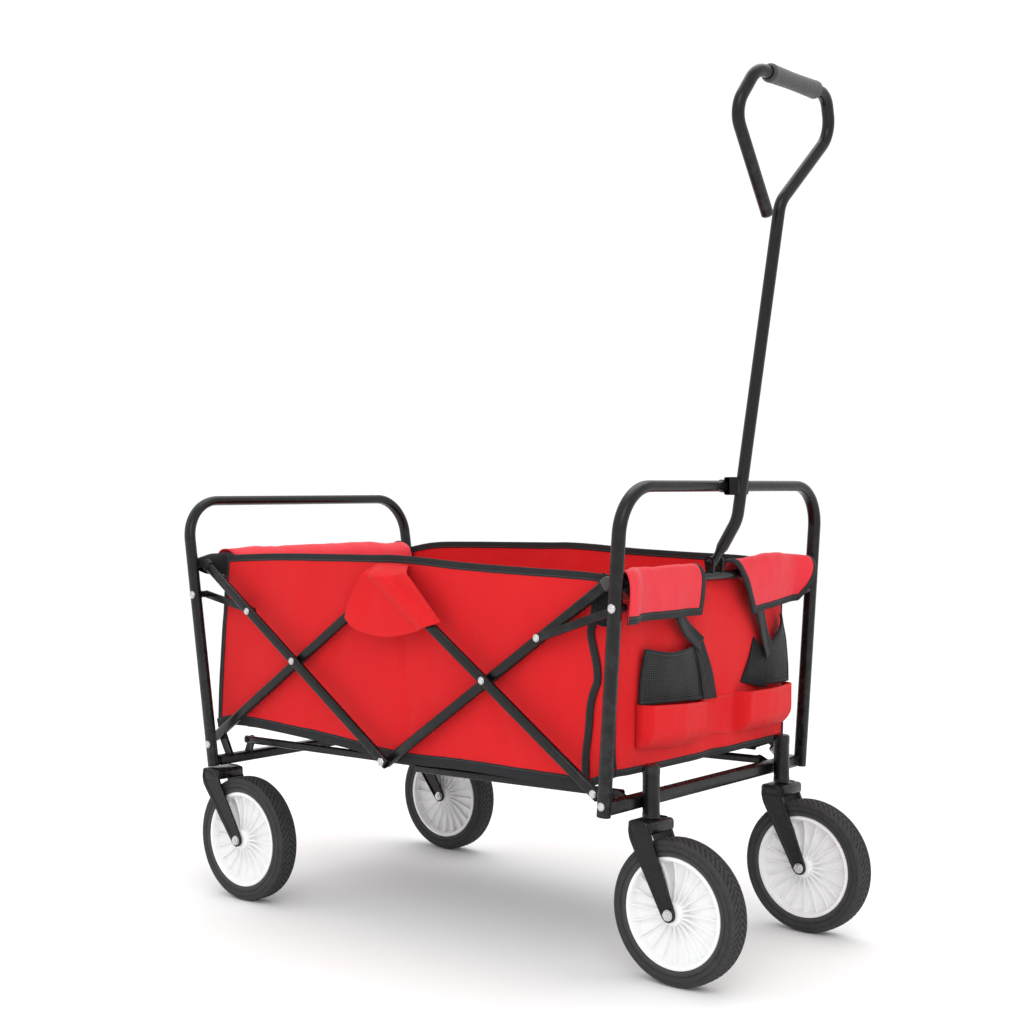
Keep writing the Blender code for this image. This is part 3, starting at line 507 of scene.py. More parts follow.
# ---- materials -----------------------------------------------------------------------------------
class Look:
    """A procedural material, with short ways to add nodes to it."""

    def __init__(self, name, **values):
        self.material = bpy.data.materials.new(name)
        self.material.use_nodes = True
        self.tree = self.material.node_tree
        self.shader = self.tree.nodes["Principled BSDF"]
        for socket, value in values.items():
            self.shader.inputs[socket.replace("_", " ")].default_value = value
        self.place = self.tree.nodes.new("ShaderNodeTexCoord")

    def add(self, kind, inputs=None, **settings):
        made = self.tree.nodes.new("ShaderNode" + kind)
        for key, value in settings.items():
            setattr(made, key, value)
        for key, value in (inputs or {}).items():
            self.put(value, made.inputs[key])
        return made

    def put(self, value, socket):
        if isinstance(value, bpy.types.NodeSocket):
            self.tree.links.new(value, socket)
        else:
            socket.default_value = value

    def set(self, socket, value):
        self.put(value, self.shader.inputs[socket])

    def noise(self, scale, detail=3.0, rough=0.55, where="Object", stretch=None):
        vector = self.place.outputs[where]
        if stretch:
            vector = self.add("Mapping", {"Vector": vector, "Scale": stretch}).outputs[0]
        made = self.add("TexNoise", {"Vector": vector, "Scale": scale, "Detail": detail})
        made.inputs["Roughness"].default_value = rough
        return made.outputs["Fac"]

    def span(self, value, low, high, start=0.0, end=1.0):
        """Carries a value from start..end to low..high."""
        made = self.add("MapRange", {0: value, 1: start, 2: end, 3: low, 4: high})
        made.clamp = True
        return made.outputs[0]

    def sum(self, operation, a, b=0.0):
        made = self.add("Math", {0: a, 1: b}, operation=operation)
        return made.outputs[0]

    def blend(self, share, a, b):
        made = self.add("Mix", data_type="RGBA")
        self.put(share, made.inputs[0])
        for value, index in ((a, 6), (b, 7)):
            self.put((*value, 1.0) if isinstance(value, tuple) else value, made.inputs[index])
        return made.outputs[2]

    def bump(self, height, distance, strength=1.0, under=None):
        made = self.add("Bump", {"Height": height, "Distance": distance, "Strength": strength})
        if under:
            self.put(under, made.inputs["Normal"])
        return made.outputs[0]

    def times(self, tone, shade):
        """A colour, darkened or lightened by a number."""
        return self.add("VectorMath", {0: tone, 1: shade}, operation="MULTIPLY").outputs[0]

    def edge(self, start=0.51, end=0.56):
        """How much a spot is on a worn edge."""
        return self.span(self.add("NewGeometry").outputs["Pointiness"], 0.0, 1.0, start, end)


def powder_coat():
    look = Look("black_powder_coat", Specular_IOR_Level=0.3)
    mottle = look.noise(38.0, 4.0)
    share = look.span(mottle, 0.0, 1.0, 0.3, 0.7)
    paint = look.blend(share, (0.003, 0.003, 0.0033), (0.0055, 0.0055, 0.006))
    patches = look.span(look.noise(95.0), 0.0, 0.5, 0.46, 0.6)
    worn = look.sum("MULTIPLY", look.edge(0.515, 0.6), patches)
    look.set("Base Color", look.blend(worn, paint, (0.045, 0.045, 0.047)))
    look.set("Roughness", look.span(look.noise(210.0, 3.0), 0.22, 0.34, 0.3, 0.7))
    peel = look.bump(look.noise(1500.0, 2.0), 0.00005, 0.45)
    look.set("Normal", look.bump(look.noise(240.0, 2.0), 0.0001, 0.35, peel))
    return look.material


def zinc():
    look = Look("zinc_plated_steel", Metallic=1.0)
    tone = look.noise(260.0, 4.0)
    look.set("Base Color", look.blend(tone, (0.5, 0.5, 0.51), (0.74, 0.74, 0.74)))
    look.set("Roughness", look.span(look.noise(900.0, 3.0), 0.2, 0.42, 0.3, 0.7))
    look.set("Normal", look.bump(look.noise(2600.0, 2.0, stretch=(1.0, 0.15, 1.0)), 0.00005, 0.5))
    return look.material


def white_plastic():
    look = Look("white_plastic", Subsurface_Weight=0.08, Subsurface_Scale=0.004)
    tone = look.blend(look.noise(26.0, 4.0), (0.87, 0.87, 0.875), (0.93, 0.93, 0.93))
    dust = look.span(look.noise(60.0, 6.0, 0.7), 0.0, 0.1, 0.52, 0.8)
    look.set("Base Color", look.blend(dust, tone, (0.6, 0.59, 0.58)))
    look.set("Roughness", look.span(look.noise(150.0), 0.34, 0.52, 0.3, 0.7))
    look.set("Normal", look.bump(look.noise(1900.0, 2.0), 0.00004, 0.6))
    return look.material


def tyre_rubber():
    look = Look("tyre_rubber", Specular_IOR_Level=0.2)
    dust = look.span(look.noise(75.0, 6.0, 0.7), 0.0, 1.0, 0.4, 0.75)
    tone = look.blend(dust, (0.024, 0.024, 0.025), (0.044, 0.044, 0.045))
    worn = look.sum("MULTIPLY", look.edge(), 0.5)
    look.set("Base Color", look.blend(worn, tone, (0.09, 0.09, 0.092)))
    look.set("Roughness", look.span(dust, 0.55, 0.82))
    look.set("Normal", look.bump(look.noise(2300.0, 3.0), 0.00012, 0.7))
    return look.material


def grey_plastic(name, dark, light):
    look = Look(name, Specular_IOR_Level=0.3)
    tone = look.noise(120.0, 4.0)
    warm = [(level, level * 0.96, level * 0.94) for level in (dark, light)]
    look.set("Base Color", look.blend(tone, warm[0], warm[1]))
    look.set("Roughness", look.span(look.noise(400.0), 0.4, 0.6, 0.3, 0.7))
    look.set("Normal", look.bump(look.noise(1700.0, 2.0), 0.00008, 0.7))
    return look.material


def grip_foam():
    look = Look("grip_foam", Sheen_Weight=0.25, Sheen_Roughness=0.6)
    cells = look.add("TexVoronoi", {"Vector": look.place.outputs["Object"], "Scale": 900.0})
    pit = look.span(cells.outputs["Distance"], 0.0, 1.0, 0.1, 0.6)
    # Painted shade: the colour is darker at the bottom of each cell's pit than on its rim.
    look.set("Base Color", look.blend(pit, (0.014, 0.014, 0.015), (0.034, 0.034, 0.035)))
    look.set("Roughness", look.span(look.noise(500.0), 0.75, 0.95))
    look.set("Normal", look.bump(pit, 0.0003, 0.7))
    return look.material


def woven(name, dark, light, pitch, sheen, roughness, height=0.00016):
    """Plain weave: warp and weft take turns on top. pitch is the width of one yarn."""
    look = Look(name, Sheen_Weight=sheen, Sheen_Roughness=0.45, Specular_IOR_Level=0.12)
    parts = look.add("SeparateXYZ", {0: look.place.outputs["UV"]}).outputs
    waves = []
    for k in (0, 1):
        turn = look.sum("MULTIPLY", parts[k], math.pi / pitch)
        waves.append(look.sum("ABSOLUTE", look.sum("SINE", turn)))
    cells = look.add("TexChecker", {"Vector": look.place.outputs["UV"], "Scale": 1.0 / pitch})
    turns = cells.outputs["Fac"]
    over = look.sum("MULTIPLY", waves[0], turns)
    under = look.sum("MULTIPLY", waves[1], look.sum("SUBTRACT", 1.0, turns))
    weave = look.sum("ADD", over, under)
    tone = look.blend(look.noise(9.0, 4.0, 0.6), dark, light)
    slub = look.span(look.noise(420.0, 2.0, stretch=(1.0, 1.0, 0.12)), 0.97, 1.02, 0.3, 0.7)
    # Painted shade: the colour is darkened in the gaps between the yarns, where the weave is low,
    # and a little lighter on their crests. Slub adds random streaks.
    weave_shade_and_slub = look.sum("MULTIPLY", look.span(weave, 0.86, 1.03, 0.0, 0.9), slub)
    look.set("Base Color", look.times(tone, weave_shade_and_slub))
    look.set("Roughness", look.span(weave, roughness + 0.1, roughness - 0.05))
    creases = look.bump(look.noise(34.0, 5.0, 0.6), 0.0012, 0.35)
    look.set("Normal", look.bump(weave, height, 0.8, creases))
    return look.material


def tape_cloth():
    """Grosgrain: ribs that run across the tape."""
    look = Look("binding_tape", Sheen_Weight=0.08, Sheen_Roughness=0.4, Specular_IOR_Level=0.15)
    parts = look.add("SeparateXYZ", {0: look.place.outputs["UV"]}).outputs
    turn = look.sum("MULTIPLY", parts[1], math.pi / RIB_PITCH)
    rib = look.sum("ABSOLUTE", look.sum("SINE", turn))
    tone = look.blend(look.noise(70.0, 3.0), (0.017, 0.018, 0.019), (0.027, 0.028, 0.030))
    # Painted shade and highlight: the colour is darkened in the troughs between the ribs and
    # lightened on their crests.
    look.set("Base Color", look.times(tone, look.span(rib, 0.65, 1.1)))
    look.set("Roughness", look.span(rib, 0.85, 0.66))
    look.set("Normal", look.bump(rib, 0.00018, 0.8))
    return look.material


def thread(name, colour):
    look = Look(name, Sheen_Weight=0.3)
    darker = tuple(c * 0.6 for c in colour)
    look.set("Base Color", look.blend(look.noise(900.0), darker, colour))
    look.set("Roughness", look.span(look.noise(300.0), 0.55, 0.75))
    look.set("Normal", look.bump(look.noise(5200.0, 1.0), 0.0001, 0.6))
    return look.material


def pale_floor():
    look = Look("pale_floor")
    tone = look.blend(look.noise(3.0), (0.965, 0.965, 0.965), (0.985, 0.985, 0.985))
    look.set("Base Color", tone)
    look.set("Roughness", look.span(look.noise(14.0), 0.7, 0.85))
    return look.material


BLACK = powder_coat()
ZINC = zinc()
WHITE = white_plastic()
RUBBER = tyre_rubber()
GREY = grey_plastic("grey_plastic", 0.040, 0.075)
DARK_PLASTIC = grey_plastic("dark_plastic", 0.008, 0.014)
FOAM = grip_foam()
RED = woven("red_polyester", (0.68, 0.010, 0.013), (0.76, 0.015, 0.019), YARN, 0.05, 0.6)
# Painted highlight: the flaps' cloth is the walls' red, painted lighter and pinker for the top
# light that falls on it.
FLAP_RED_PAINTED_HIGHLIGHT = woven("red_flap_painted_highlight", (0.76, 0.028, 0.044), (0.84, 0.040, 0.060), YARN, 0.12, 0.55)
LINING = woven("red_lining", (0.54, 0.006, 0.008), (0.62, 0.009, 0.012), YARN, 0.04, 0.7)
DARK_CLOTH = woven(
    "black_polyester", (0.008, 0.008, 0.009), (0.014, 0.014, 0.015), YARN, 0.06, 0.62
)
NET = woven("black_net", (0.03, 0.031, 0.032), (0.06, 0.062, 0.063), 0.0004, 0.15, 0.6)
WEBBING = woven(
    "black_webbing", (0.012, 0.012, 0.013), (0.022, 0.022, 0.024), 0.0013, 0.12, 0.6, 0.0003
)
TAPE = tape_cloth()
BLACK_THREAD = thread("black_thread", (0.06, 0.06, 0.062))
RED_THREAD = thread("red_thread", (0.6, 0.03, 0.03))


# ---- fasteners -----------------------------------------------------------------------------------
def dome(radius, height, washer=0.0):
    """A rivet's head on a washer, standing on Y = 0."""
    profile, base = [(0.0, -0.0004)], 0.0
    if washer:
        profile += [(washer, -0.0004), (washer, 0.0005), (washer - 0.0003, 0.0008)]
        base = 0.0008
    profile += [(radius, base), (radius, base + height * 0.25)]
    for i in range(1, 6):
        a = math.pi / 2 * i / 5
        profile.append((radius * math.cos(a), base + height * (0.25 + 0.75 * math.sin(a))))
    return turned(profile, 28)


def rivet(spot, side, sizes=RIVET):
    """A dome of these sizes that stands on spot and faces side."""
    return dome(*sizes).moved(bolt_frame(spot, side))


def hex_nut(across, height):
    """A nut with its corners turned off, a dome in its middle, standing on Y = 0."""
    rows = []
    for scale, h in ((0.0, 0.0), (1.0, 0.0), (1.0, height * 0.75), (0.9, height), (0.62, height)):
        corner = ring(across / math.sqrt(3) * scale, 6)
        line = []
        for k in range(6):
            a, b = corner[k], corner[(k + 1) % 6]
            for t in (0.0, 1 / 3, 2 / 3):
                line.append(Vector((a[0] + (b[0] - a[0]) * t, h, a[1] + (b[1] - a[1]) * t)))
        rows.append(line)
    tip = [
        (0.0, height - 0.0002),
        (across * 0.3, height - 0.0002),
        (across * 0.26, height + 0.0012),
        (across * 0.18, height + 0.0018),
        (0.0, height + 0.002),
    ]
    return [grid(rows, wrap=True, caps=True), turned(tip, 20)]


# ---- end frames, cross tubes and rails -----------------------------------------------------------
def upright_x(end, z):
    """How far ahead an upright's middle is at a height: it leans."""
    return FOOT_X[end] + LEAN[end] * (z - PIVOT_Z)


def end_frame(end):
    """An upside-down U of flat-oval tube."""
    foot, top = upright_x(end, FOOT_Z[end]), upright_x(end, TOP_Z[end])
    corners = [
        (at(foot, -UPRIGHT_Y, FOOT_Z[end]), 0),
        (at(top, -UPRIGHT_Y, TOP_Z[end]), CORNER_RADIUS),
        (at(top, UPRIGHT_Y, TOP_Z[end]), CORNER_RADIUS),
        (at(foot, UPRIGHT_Y, FOOT_Z[end]), 0),
    ]
    path = rounded_path(corners, steps=28)
    profile = [(v, u) for u, v in stadium(TUBE_DEPTH, TUBE_WIDTH, 10)]
    tube = sweep(path, profile, normal=(1, 0, -LEAN[end]), hollow=0.012, wall=0.0013)
    steel(end + "_frame_tube", [tube], end + "_end", [end + "_frame"])


def cross_tube(end):
    """The lower cross tube, with an ear for each scissor's corner and each floor brace."""
    x, z, depth, height = CROSS[end]
    path = [at(x, y, z) for y in (-TUBE_END_Y, -0.1, 0.1, TUBE_END_Y)]
    outline = rounded_box(depth, height, 0.0035)
    parts = [sweep(path, outline, normal=(0, 0, 1), hollow=0.004, wall=0.0015)]
    shift = Matrix.Translation((MIDDLE_X, 0, 0))
    corner_x = SCISSOR_X + SIGN[end] * CORNER_X
    base = [(x - depth * 0.4, z), (x + depth * 0.4, z)]
    pivots = [(corner_x, PIVOT_Z), (SIGN[end] * BRACE_X, BRACE_Z)]
    for side in SIDES.values():
        for pivot, (plane, radius, thick) in zip(pivots, EARS):
            outline = softened(convex(half_ring(pivot, radius) + base), 0.0015, 2)
            low, high = side * (plane - thick / 2), side * (plane + thick / 2)
            parts.append(plate(outline, low, high, 0.0005).moved(shift))
    steel(end + "_cross_bar", parts, end + "_end", [end + "_cross_tube"])
    heads = []
    for side in SIDES.values():
        spot = at(corner_x, side * CORNER_RIVET_Y, PIVOT_Z)
        heads.append(rivet(spot, -side, (0.0042, 0.0018)))
        spot = at(upright_x(end, FOOT_RIVET_Z), side * UPRIGHT_FACE_Y, FOOT_RIVET_Z)
        heads.append(rivet(spot, side, (0.0042, 0.0022, 0.0052)))
    bright(end + "_corner_rivets", heads, end + "_end")


def rail_path(end):
    """The line of a top rail, which steps out to its uprights by a crank near each end."""
    stops = [
        (RAIL_END_X[end], TUBE_END_Y, 0),
        (RAIL_END_X[end], CRANK_Y + CRANK_HALF, CRANK_BEND),
        (RAIL_X[end], CRANK_Y - CRANK_HALF, CRANK_BEND),
    ]
    corners = [(at(x, -y, RAIL_Z), bend) for x, y, bend in stops]
    corners += [(at(x, y, RAIL_Z), bend) for x, y, bend in reversed(stops)]
    return rounded_path(corners, 10)


def top_rail(end):
    """A top rail. The front one carries the handle's bracket."""
    parts = [sweep(rail_path(end), ring(RAIL_RADIUS, 24), normal=(0, 0, 1))]
    if end == "front":
        pivot = joint_at["handle_pivot"]
        foot = MIDDLE_X + RAIL_X[end]
        base = [(foot - 0.005, RAIL_Z), (foot + 0.005, RAIL_Z)]
        eye = half_ring((pivot.x, pivot.z), BRACKET_RADIUS)
        outline = softened(convex(eye + base), 0.0012, 2)
        heads = []
        for side in SIDES.values():
            parts.append(plate(outline, side * EAR_GAP, side * EAR_FACE, 0.0004))
            spot = (pivot.x, side * EAR_FACE, pivot.z)
            heads.append(rivet(spot, side, (0.0036, 0.0016, 0.0044)))
        steel("handle_bracket_rivets", heads, "front_end")
    steel(end + "_rail_bar", parts, end + "_end", [end + "_top_rail"])


# ---- scissor arms, caps and links ----------------------------------------------------------------
def along_bar(start, end, y):
    """A frame whose X runs from one (X, Z) point to another, in the plane of a side."""
    way = Vector((end[0] - start[0], 0, end[1] - start[1])).normalized()
    up = Vector((0, 1, 0)).cross(way) * -1
    matrix = Matrix((way, Vector((0, 1, 0)), up)).transposed().to_4x4()
    return Matrix.Translation(at(start[0], y, start[1])) @ matrix


def oval_bar(length, reach, height, width, hollow):
    """A flat-oval tube along local X, cut square, that runs on past its pivots by reach."""
    stops = [-reach, length * 0.25, length * 0.5, length * 0.75, length + reach]
    path = [Vector((x, 0, 0)) for x in stops]
    profile = rounded_box(width, height, min(height, width) * 0.42, 6)
    return sweep(path, profile, normal=(0, 0, 1), hollow=hollow, wall=0.0011)


def scissor_side(word, side):
    """One side's four arms, with rivets on their crossings and a nut on the lower middle."""
    outer, inner = side * OUTER_Y, side * INNER_Y
    top = PIVOT_Z + ARM_RISE
    rear, front = SCISSOR_X - CORNER_X, SCISSOR_X + CORNER_X
    layout = {
        "arm_rear_low": ((rear, PIVOT_Z), (SCISSOR_X, top), inner),
        "arm_rear_high": ((rear, top), (SCISSOR_X, PIVOT_Z), outer),
        "arm_front_low": ((front, PIVOT_Z), (SCISSOR_X, top), outer),
        "arm_front_high": ((front, top), (SCISSOR_X, PIVOT_Z), inner),
    }
    face = side * ARM_FACE_Y
    for name, (start, end, plane) in layout.items():
        node = name + "_" + word
        bar = oval_bar(ARM_LENGTH, ARM_END, ARM_HEIGHT, ARM_WIDTH, 0.009)
        steel(node + "_tube", [bar.moved(along_bar(start, end, plane))], node, [node])
        heads = []
        if name in ("arm_rear_low", "arm_front_high"):
            middle = at((start[0] + end[0]) / 2, face, (start[1] + end[1]) / 2)
            heads.append(rivet(middle, side))
        if name == "arm_rear_low":
            heads.append(rivet(at(end[0], face, end[1]), side))
        if name == "arm_front_high":
            place = bolt_frame(at(end[0], face, end[1]), side)
            heads += [shape.moved(place) for shape in hex_nut(0.0105, 0.0026)]
        if name == "arm_front_low":
            heads.append(rivet(at(start[0], face, start[1]), side, (0.004, 0.0018, 0.005)))
        if heads:
            bright(node + "_rivets", heads, node)


def arm_cap(end, word, side):
    """A moulded cap on the upper end of a high arm, rounded at its tip."""
    plane = side * (INNER_Y if end == "front" else OUTER_Y)
    start = (SCISSOR_X + SIGN[end] * CORNER_X, PIVOT_Z + ARM_RISE)
    place = along_bar(start, (SCISSOR_X, PIVOT_Z), plane)
    stops = [(-0.0072, 0.9), (-0.0076, 1.0), (-0.0125, 1.04), (-0.0158, 1.0)]
    stops += [(-0.0158 - 0.0046 * math.sin(a), math.cos(a)) for a in (0.35, 0.7, 1.05, 1.3)]
    rows = []
    for x, scale in stops:
        outline = rounded_box(0.0096, 0.0164 * scale, 0.0034 * min(1, scale), 5)
        rows.append([Vector((x, a, b)) for a, b in outline])
    cap = grid(rows, wrap=True, caps=True).moved(place)
    node = "arm_cap_" + end + "_" + word
    look = GREY if end == "front" else DARK_PLASTIC
    piece(node + "_moulding", [cap], look, "arm_" + end + "_high_" + word, [node])


def link(end, word, side):
    """A link from an upright to its high arm, with a rivet on the arm and a screw outside."""
    pivot = joint_at["link_" + end + "_pivot_" + word]
    angle = math.atan2(ARM_RISE, CORNER_X)
    along = LINK_ALONG[end]
    on_arm = (
        SCISSOR_X + SIGN[end] * (CORNER_X - along * math.cos(angle)),
        PIVOT_Z + ARM_RISE - along * math.sin(angle),
    )
    start = (pivot.x - MIDDLE_X, pivot.z)
    length = math.hypot(on_arm[0] - start[0], on_arm[1] - start[1])
    radius = LINK_HEIGHT / 2
    arc = [-math.pi / 2 + math.pi * i / 12 for i in range(13)]
    outline = [(length + radius * math.cos(a), radius * math.sin(a)) for a in arc]
    outline += [(-radius * math.cos(a), -radius * math.sin(a)) for a in arc]
    bar = plate(outline, -LINK_WIDTH / 2, LINK_WIDTH / 2, 0.0014)
    boss = pin(BOSS_RADIUS, 0, UPRIGHT_Y - TUBE_WIDTH / 2 - 0.0005 - abs(pivot.y), 20)
    parts = [bar.moved(along_bar(start, on_arm, pivot.y)), boss.moved(bolt_frame(pivot, side))]
    node = "link_" + end + "_" + word
    steel(node + "_bar", parts, node, [node])
    if end == "front":
        rider, face = node, abs(pivot.y) + LINK_WIDTH / 2
    else:
        rider, face = "arm_rear_high_" + word, ARM_FACE_Y
    bright(node + "_rivet", [rivet(at(on_arm[0], side * face, on_arm[1]), side)], rider)
    spot = at(start[0], side * UPRIGHT_FACE_Y, start[1])
    screw = rivet(spot, side, (0.0046, 0.0024, 0.0056))
    bright(end + "_frame_bolt_" + word, [screw], end + "_end")


# ---- floor braces --------------------------------------------------------------------------------
def brace(end, word, side):
    """A floor brace. The front pair passes under the rod that the rear pair carries."""
    pivot = joint_at["floor_" + end + "_pivot"]
    tip_z = BRACE_TIP_Z - (BRACE_DROP if end == "front" else 0.0)
    start = (pivot.x - MIDDLE_X, pivot.z)
    plane = side * BRACE_Y[end]
    length = math.hypot(start[0], tip_z - start[1])
    bar = oval_bar(length, BRACE_HEIGHT / 2, BRACE_HEIGHT, BRACE_WIDTH, 0.006)
    bar = bar.moved(along_bar(start, (0, tip_z), plane))
    node = "floor_brace_" + end + "_" + word
    spot = at(start[0], plane + side * BRACE_WIDTH / 2, start[1])
    steel(node + "_tube", [bar, rivet(spot, side, (0.0042, 0.0016))], "floor_" + end, [node])


def hinge_rod():
    """The rod across the middle of the floor."""
    reach = BRACE_Y["rear"] - BRACE_WIDTH / 2 - 0.0003
    path = [at(0, y, BRACE_TIP_Z) for y in (-reach, 0, reach)]
    rod = sweep(path, ring(ROD_RADIUS, 20), normal=(0, 0, 1))
    steel("floor_hinge_bar", [rod], "floor_rear", ["floor_hinge_rod"])


# ---- wheels and forks ----------------------------------------------------------------------------
TREAD_HALF = 0.0125
TREAD_BLOCKS = 66


def tread_depth(angle, y):
    """How deep the tread is cut at a spot: two straight grooves, and slanted cuts between them."""
    groove = 1.0 if 0.0052 < abs(y) < 0.0068 else 0.0
    slant = (angle / (2 * math.pi) * TREAD_BLOCKS + abs(y) * 120.0) % 1.0
    cut = 1.0 if slant < 0.3 else 0.0
    fade = 1.0 if abs(y) < TREAD_HALF else 0.0
    return 0.0013 * max(groove, cut) * fade


def tyre():
    """Sidewalls with two fine rings, shoulders, and a tread cut into the crown."""
    half, bead = TYRE_WIDTH / 2, RIM_RADIUS - 0.0018
    wall = [
        (bead, -half + 0.002),
        (bead + 0.0012, -half + 0.0008),
        (RIM_RADIUS + 0.0035, -half + 0.0002),
        (RIM_RADIUS + 0.0046, -half + 0.0008),
        (RIM_RADIUS + 0.0056, -half + 0.0002),
        (WHEEL_RADIUS - 0.0085, -half),
        (WHEEL_RADIUS - 0.0078, -half + 0.0006),
        (WHEEL_RADIUS - 0.0068, -half + 0.0004),
        (WHEEL_RADIUS - 0.0045, -half + 0.0014),
        (WHEEL_RADIUS - 0.0022, -half + 0.0028),
    ]
    crown = []
    count = 26
    for i in range(count + 1):
        y = -TREAD_HALF - 0.0006 + (2 * TREAD_HALF + 0.0012) * i / count
        crown.append((WHEEL_RADIUS - 0.0012 * (abs(y) / TREAD_HALF) ** 4, y))
    outline = wall + crown + [(r, -y) for r, y in reversed(wall)]
    steps = TREAD_BLOCKS * 6
    rows = []
    for i in range(steps + 1):
        a = 2 * math.pi * (i % steps) / steps
        row = []
        for radius, y in outline:
            cut = tread_depth(a, y) if radius > WHEEL_RADIUS - 0.002 else 0.0
            row.append(Vector(((radius - cut) * math.cos(a), y, (radius - cut) * math.sin(a))))
        rows.append(row)
    return grid(rows, wrap=True)


RIM_RIBS = 20


def rim():
    """A moulded wheel: hub, web, broad ring with a step, and radial ribs on both faces."""
    seat = RIM_RADIUS - 0.0023
    lip = TYRE_WIDTH / 2 - 0.0018
    half = [
        (AXLE_RADIUS + 0.0006, 0.0186),
        (0.0078, 0.019),
        (0.0088, 0.0182),
        (0.0115, 0.0182),
        (0.0132, 0.0172),
        (HUB_RADIUS, 0.0155),
        (HUB_RADIUS + 0.0004, 0.0065),
        (HUB_RADIUS + 0.003, 0.0040),
        (0.03, 0.0032),
        (seat - 0.0095, 0.0032),
        (seat - 0.0078, 0.0045),
        (seat - 0.0062, 0.0105),
        (seat - 0.0052, lip - 0.0010),
        (seat - 0.0042, lip),
        (seat - 0.0006, lip),
        (seat, lip - 0.0006),
    ]
    outline = half + [(r, -y) for r, y in reversed(half)]
    parts = [lathe_ring(outline, 120)]
    for k in range(RIM_RIBS):
        turn = Matrix.Rotation(2 * math.pi * k / RIM_RIBS, 4, "Y")
        for side in SIDES.values():
            parts.append(rim_rib(side).moved(turn))
    return parts


def rim_rib(side):
    """A rib that falls from the hub and rises to the ring, 1.7 mm thick."""
    half, crest = 0.00085, 0.0004
    rows = []
    for r, top in (
        (0.0135, 0.0130), (0.020, 0.0108), (0.034, 0.0086), (0.050, 0.0088), (0.0625, 0.0112)
    ):
        left = [(-half, 0.0025), (-half, top - 0.0006), (-crest, top)]
        outline = left + [(-w, h) for w, h in reversed(left)]
        rows.append([Vector((r, side * h, w)) for w, h in outline])
    return grid(rows, wrap=True, caps=True)


def wheel(node):
    """Both solids of a wheel, at its axle. Its node and its body share one name."""
    tyre_node, rim_node = node.replace("wheel", "tyre"), node.replace("wheel", "rim")
    low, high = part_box(tyre_node)
    place = Matrix.Translation((low + high) / 2)
    rubber = [tyre().moved(place)]
    piece(tyre_node + "_rubber", rubber, RUBBER, node, [tyre_node], sharp=28)
    moulding = [part.moved(place) for part in rim()]
    piece(rim_node + "_moulding", moulding, WHITE, node, [rim_node], sharp=40)


def leg_outline(end, axle):
    """A fork's leg: broad under its crown, round at the axle."""
    crown = CROWN[end]
    half = CROWN_LENGTH / 2
    top, low = crown[1] + CROWN_HEIGHT / 2, crown[1] - CROWN_HEIGHT / 2
    shape = [
        (crown[0] - half * 0.8, top),
        (crown[0] + half * 0.52, top),
        (crown[0] - half, low + 0.004),
        (crown[0] + half * 0.46, low - 0.002),
        (crown[0] - half * 0.85, low - 0.008),
    ]
    return softened(convex(shape + ring(LEG_END_RADIUS - 0.0008, 24, axle)), 0.0018, 5)


def fork(node, end, axle, middle_y, body):
    """Two pressed legs with an eye at the axle, under one crown."""
    crown = CROWN[end]
    shift = Matrix.Translation((MIDDLE_X, 0, 0))
    outline = leg_outline(end, axle)
    parts = []
    for side in SIDES.values():
        back, front = middle_y + side * LEG_INNER, middle_y + side * (LEG_OUTER + FORK_SKIN)
        parts.append(dished(outline, back, front, 0.0024, 0.0024).moved(shift))
        rim_of_eye = [(EYE_RADIUS, 0), (EYE_RADIUS, 0.0026), (EYE_RADIUS - 0.0008, 0.0032)]
        eye = turned([(0, 0), *rim_of_eye, (0, 0.0032)], 28)
        spot = at(axle[0], middle_y + side * (LEG_OUTER - 0.0026), axle[1])
        parts.append(eye.moved(bolt_frame(spot, side)))
    half = LEG_OUTER - 0.0005
    deck = plate(rounded_box(CROWN_LENGTH, CROWN_HEIGHT - 0.0008, 0.0045, 5), -half, half, 0.0012)
    parts.append(deck.moved(Matrix.Translation(at(crown[0], middle_y, crown[1] - 0.0002))))
    steel(node + "_pressing", parts, body, [node])


def axle_bolt(node, axle, middle_y, body):
    """An axle, and a washer and a nut outside each leg."""
    reach = LEG_OUTER + FORK_SKIN
    place = at(axle[0], middle_y, axle[1])
    parts = [pin(AXLE_RADIUS, -reach, reach, 24).moved(Matrix.Translation(place))]
    for side in SIDES.values():
        foot = bolt_frame(place + Vector((0, side * (LEG_OUTER + 0.0004), 0)), side)
        washer = [(0, 0), (0.0068, 0), (0.0068, 0.0006), (0.0064, 0.0009), (0, 0.0009)]
        parts.append(turned(washer, 28).moved(foot))
        raised = foot @ Matrix.Translation((0, 0.0008, 0))
        parts += [shape.moved(raised) for shape in hex_nut(0.0112, 0.0022)]
    bright(node + "_bolt", parts, body, [node])


def caster_housing(word):
    """The upright sleeve that a caster's kingpin turns in, with a band at each end."""
    base = CROWN["front"][1] + CROWN_HEIGHT / 2 + HOUSING_GAP
    r, top = HOUSING_RADIUS, HOUSING_TOP
    profile = [
        (0, base), (r - 0.0008, base), (r, base + 0.0008), (r, base + 0.006),
        (r - 0.0004, base + 0.0066), (r - 0.0004, top - 0.012), (r, top - 0.0114),
        (r, top - 0.0022), (r - 0.0022, top), (0, top),
    ]
    middle = at(CROWN["front"][0], joint_at["caster_swivel_" + word].y, 0)
    tube = turned(profile, 40, axis="Z").moved(Matrix.Translation(middle))
    node = "caster_housing_" + word
    steel(node + "_sleeve", [tube], "front_end", [node])


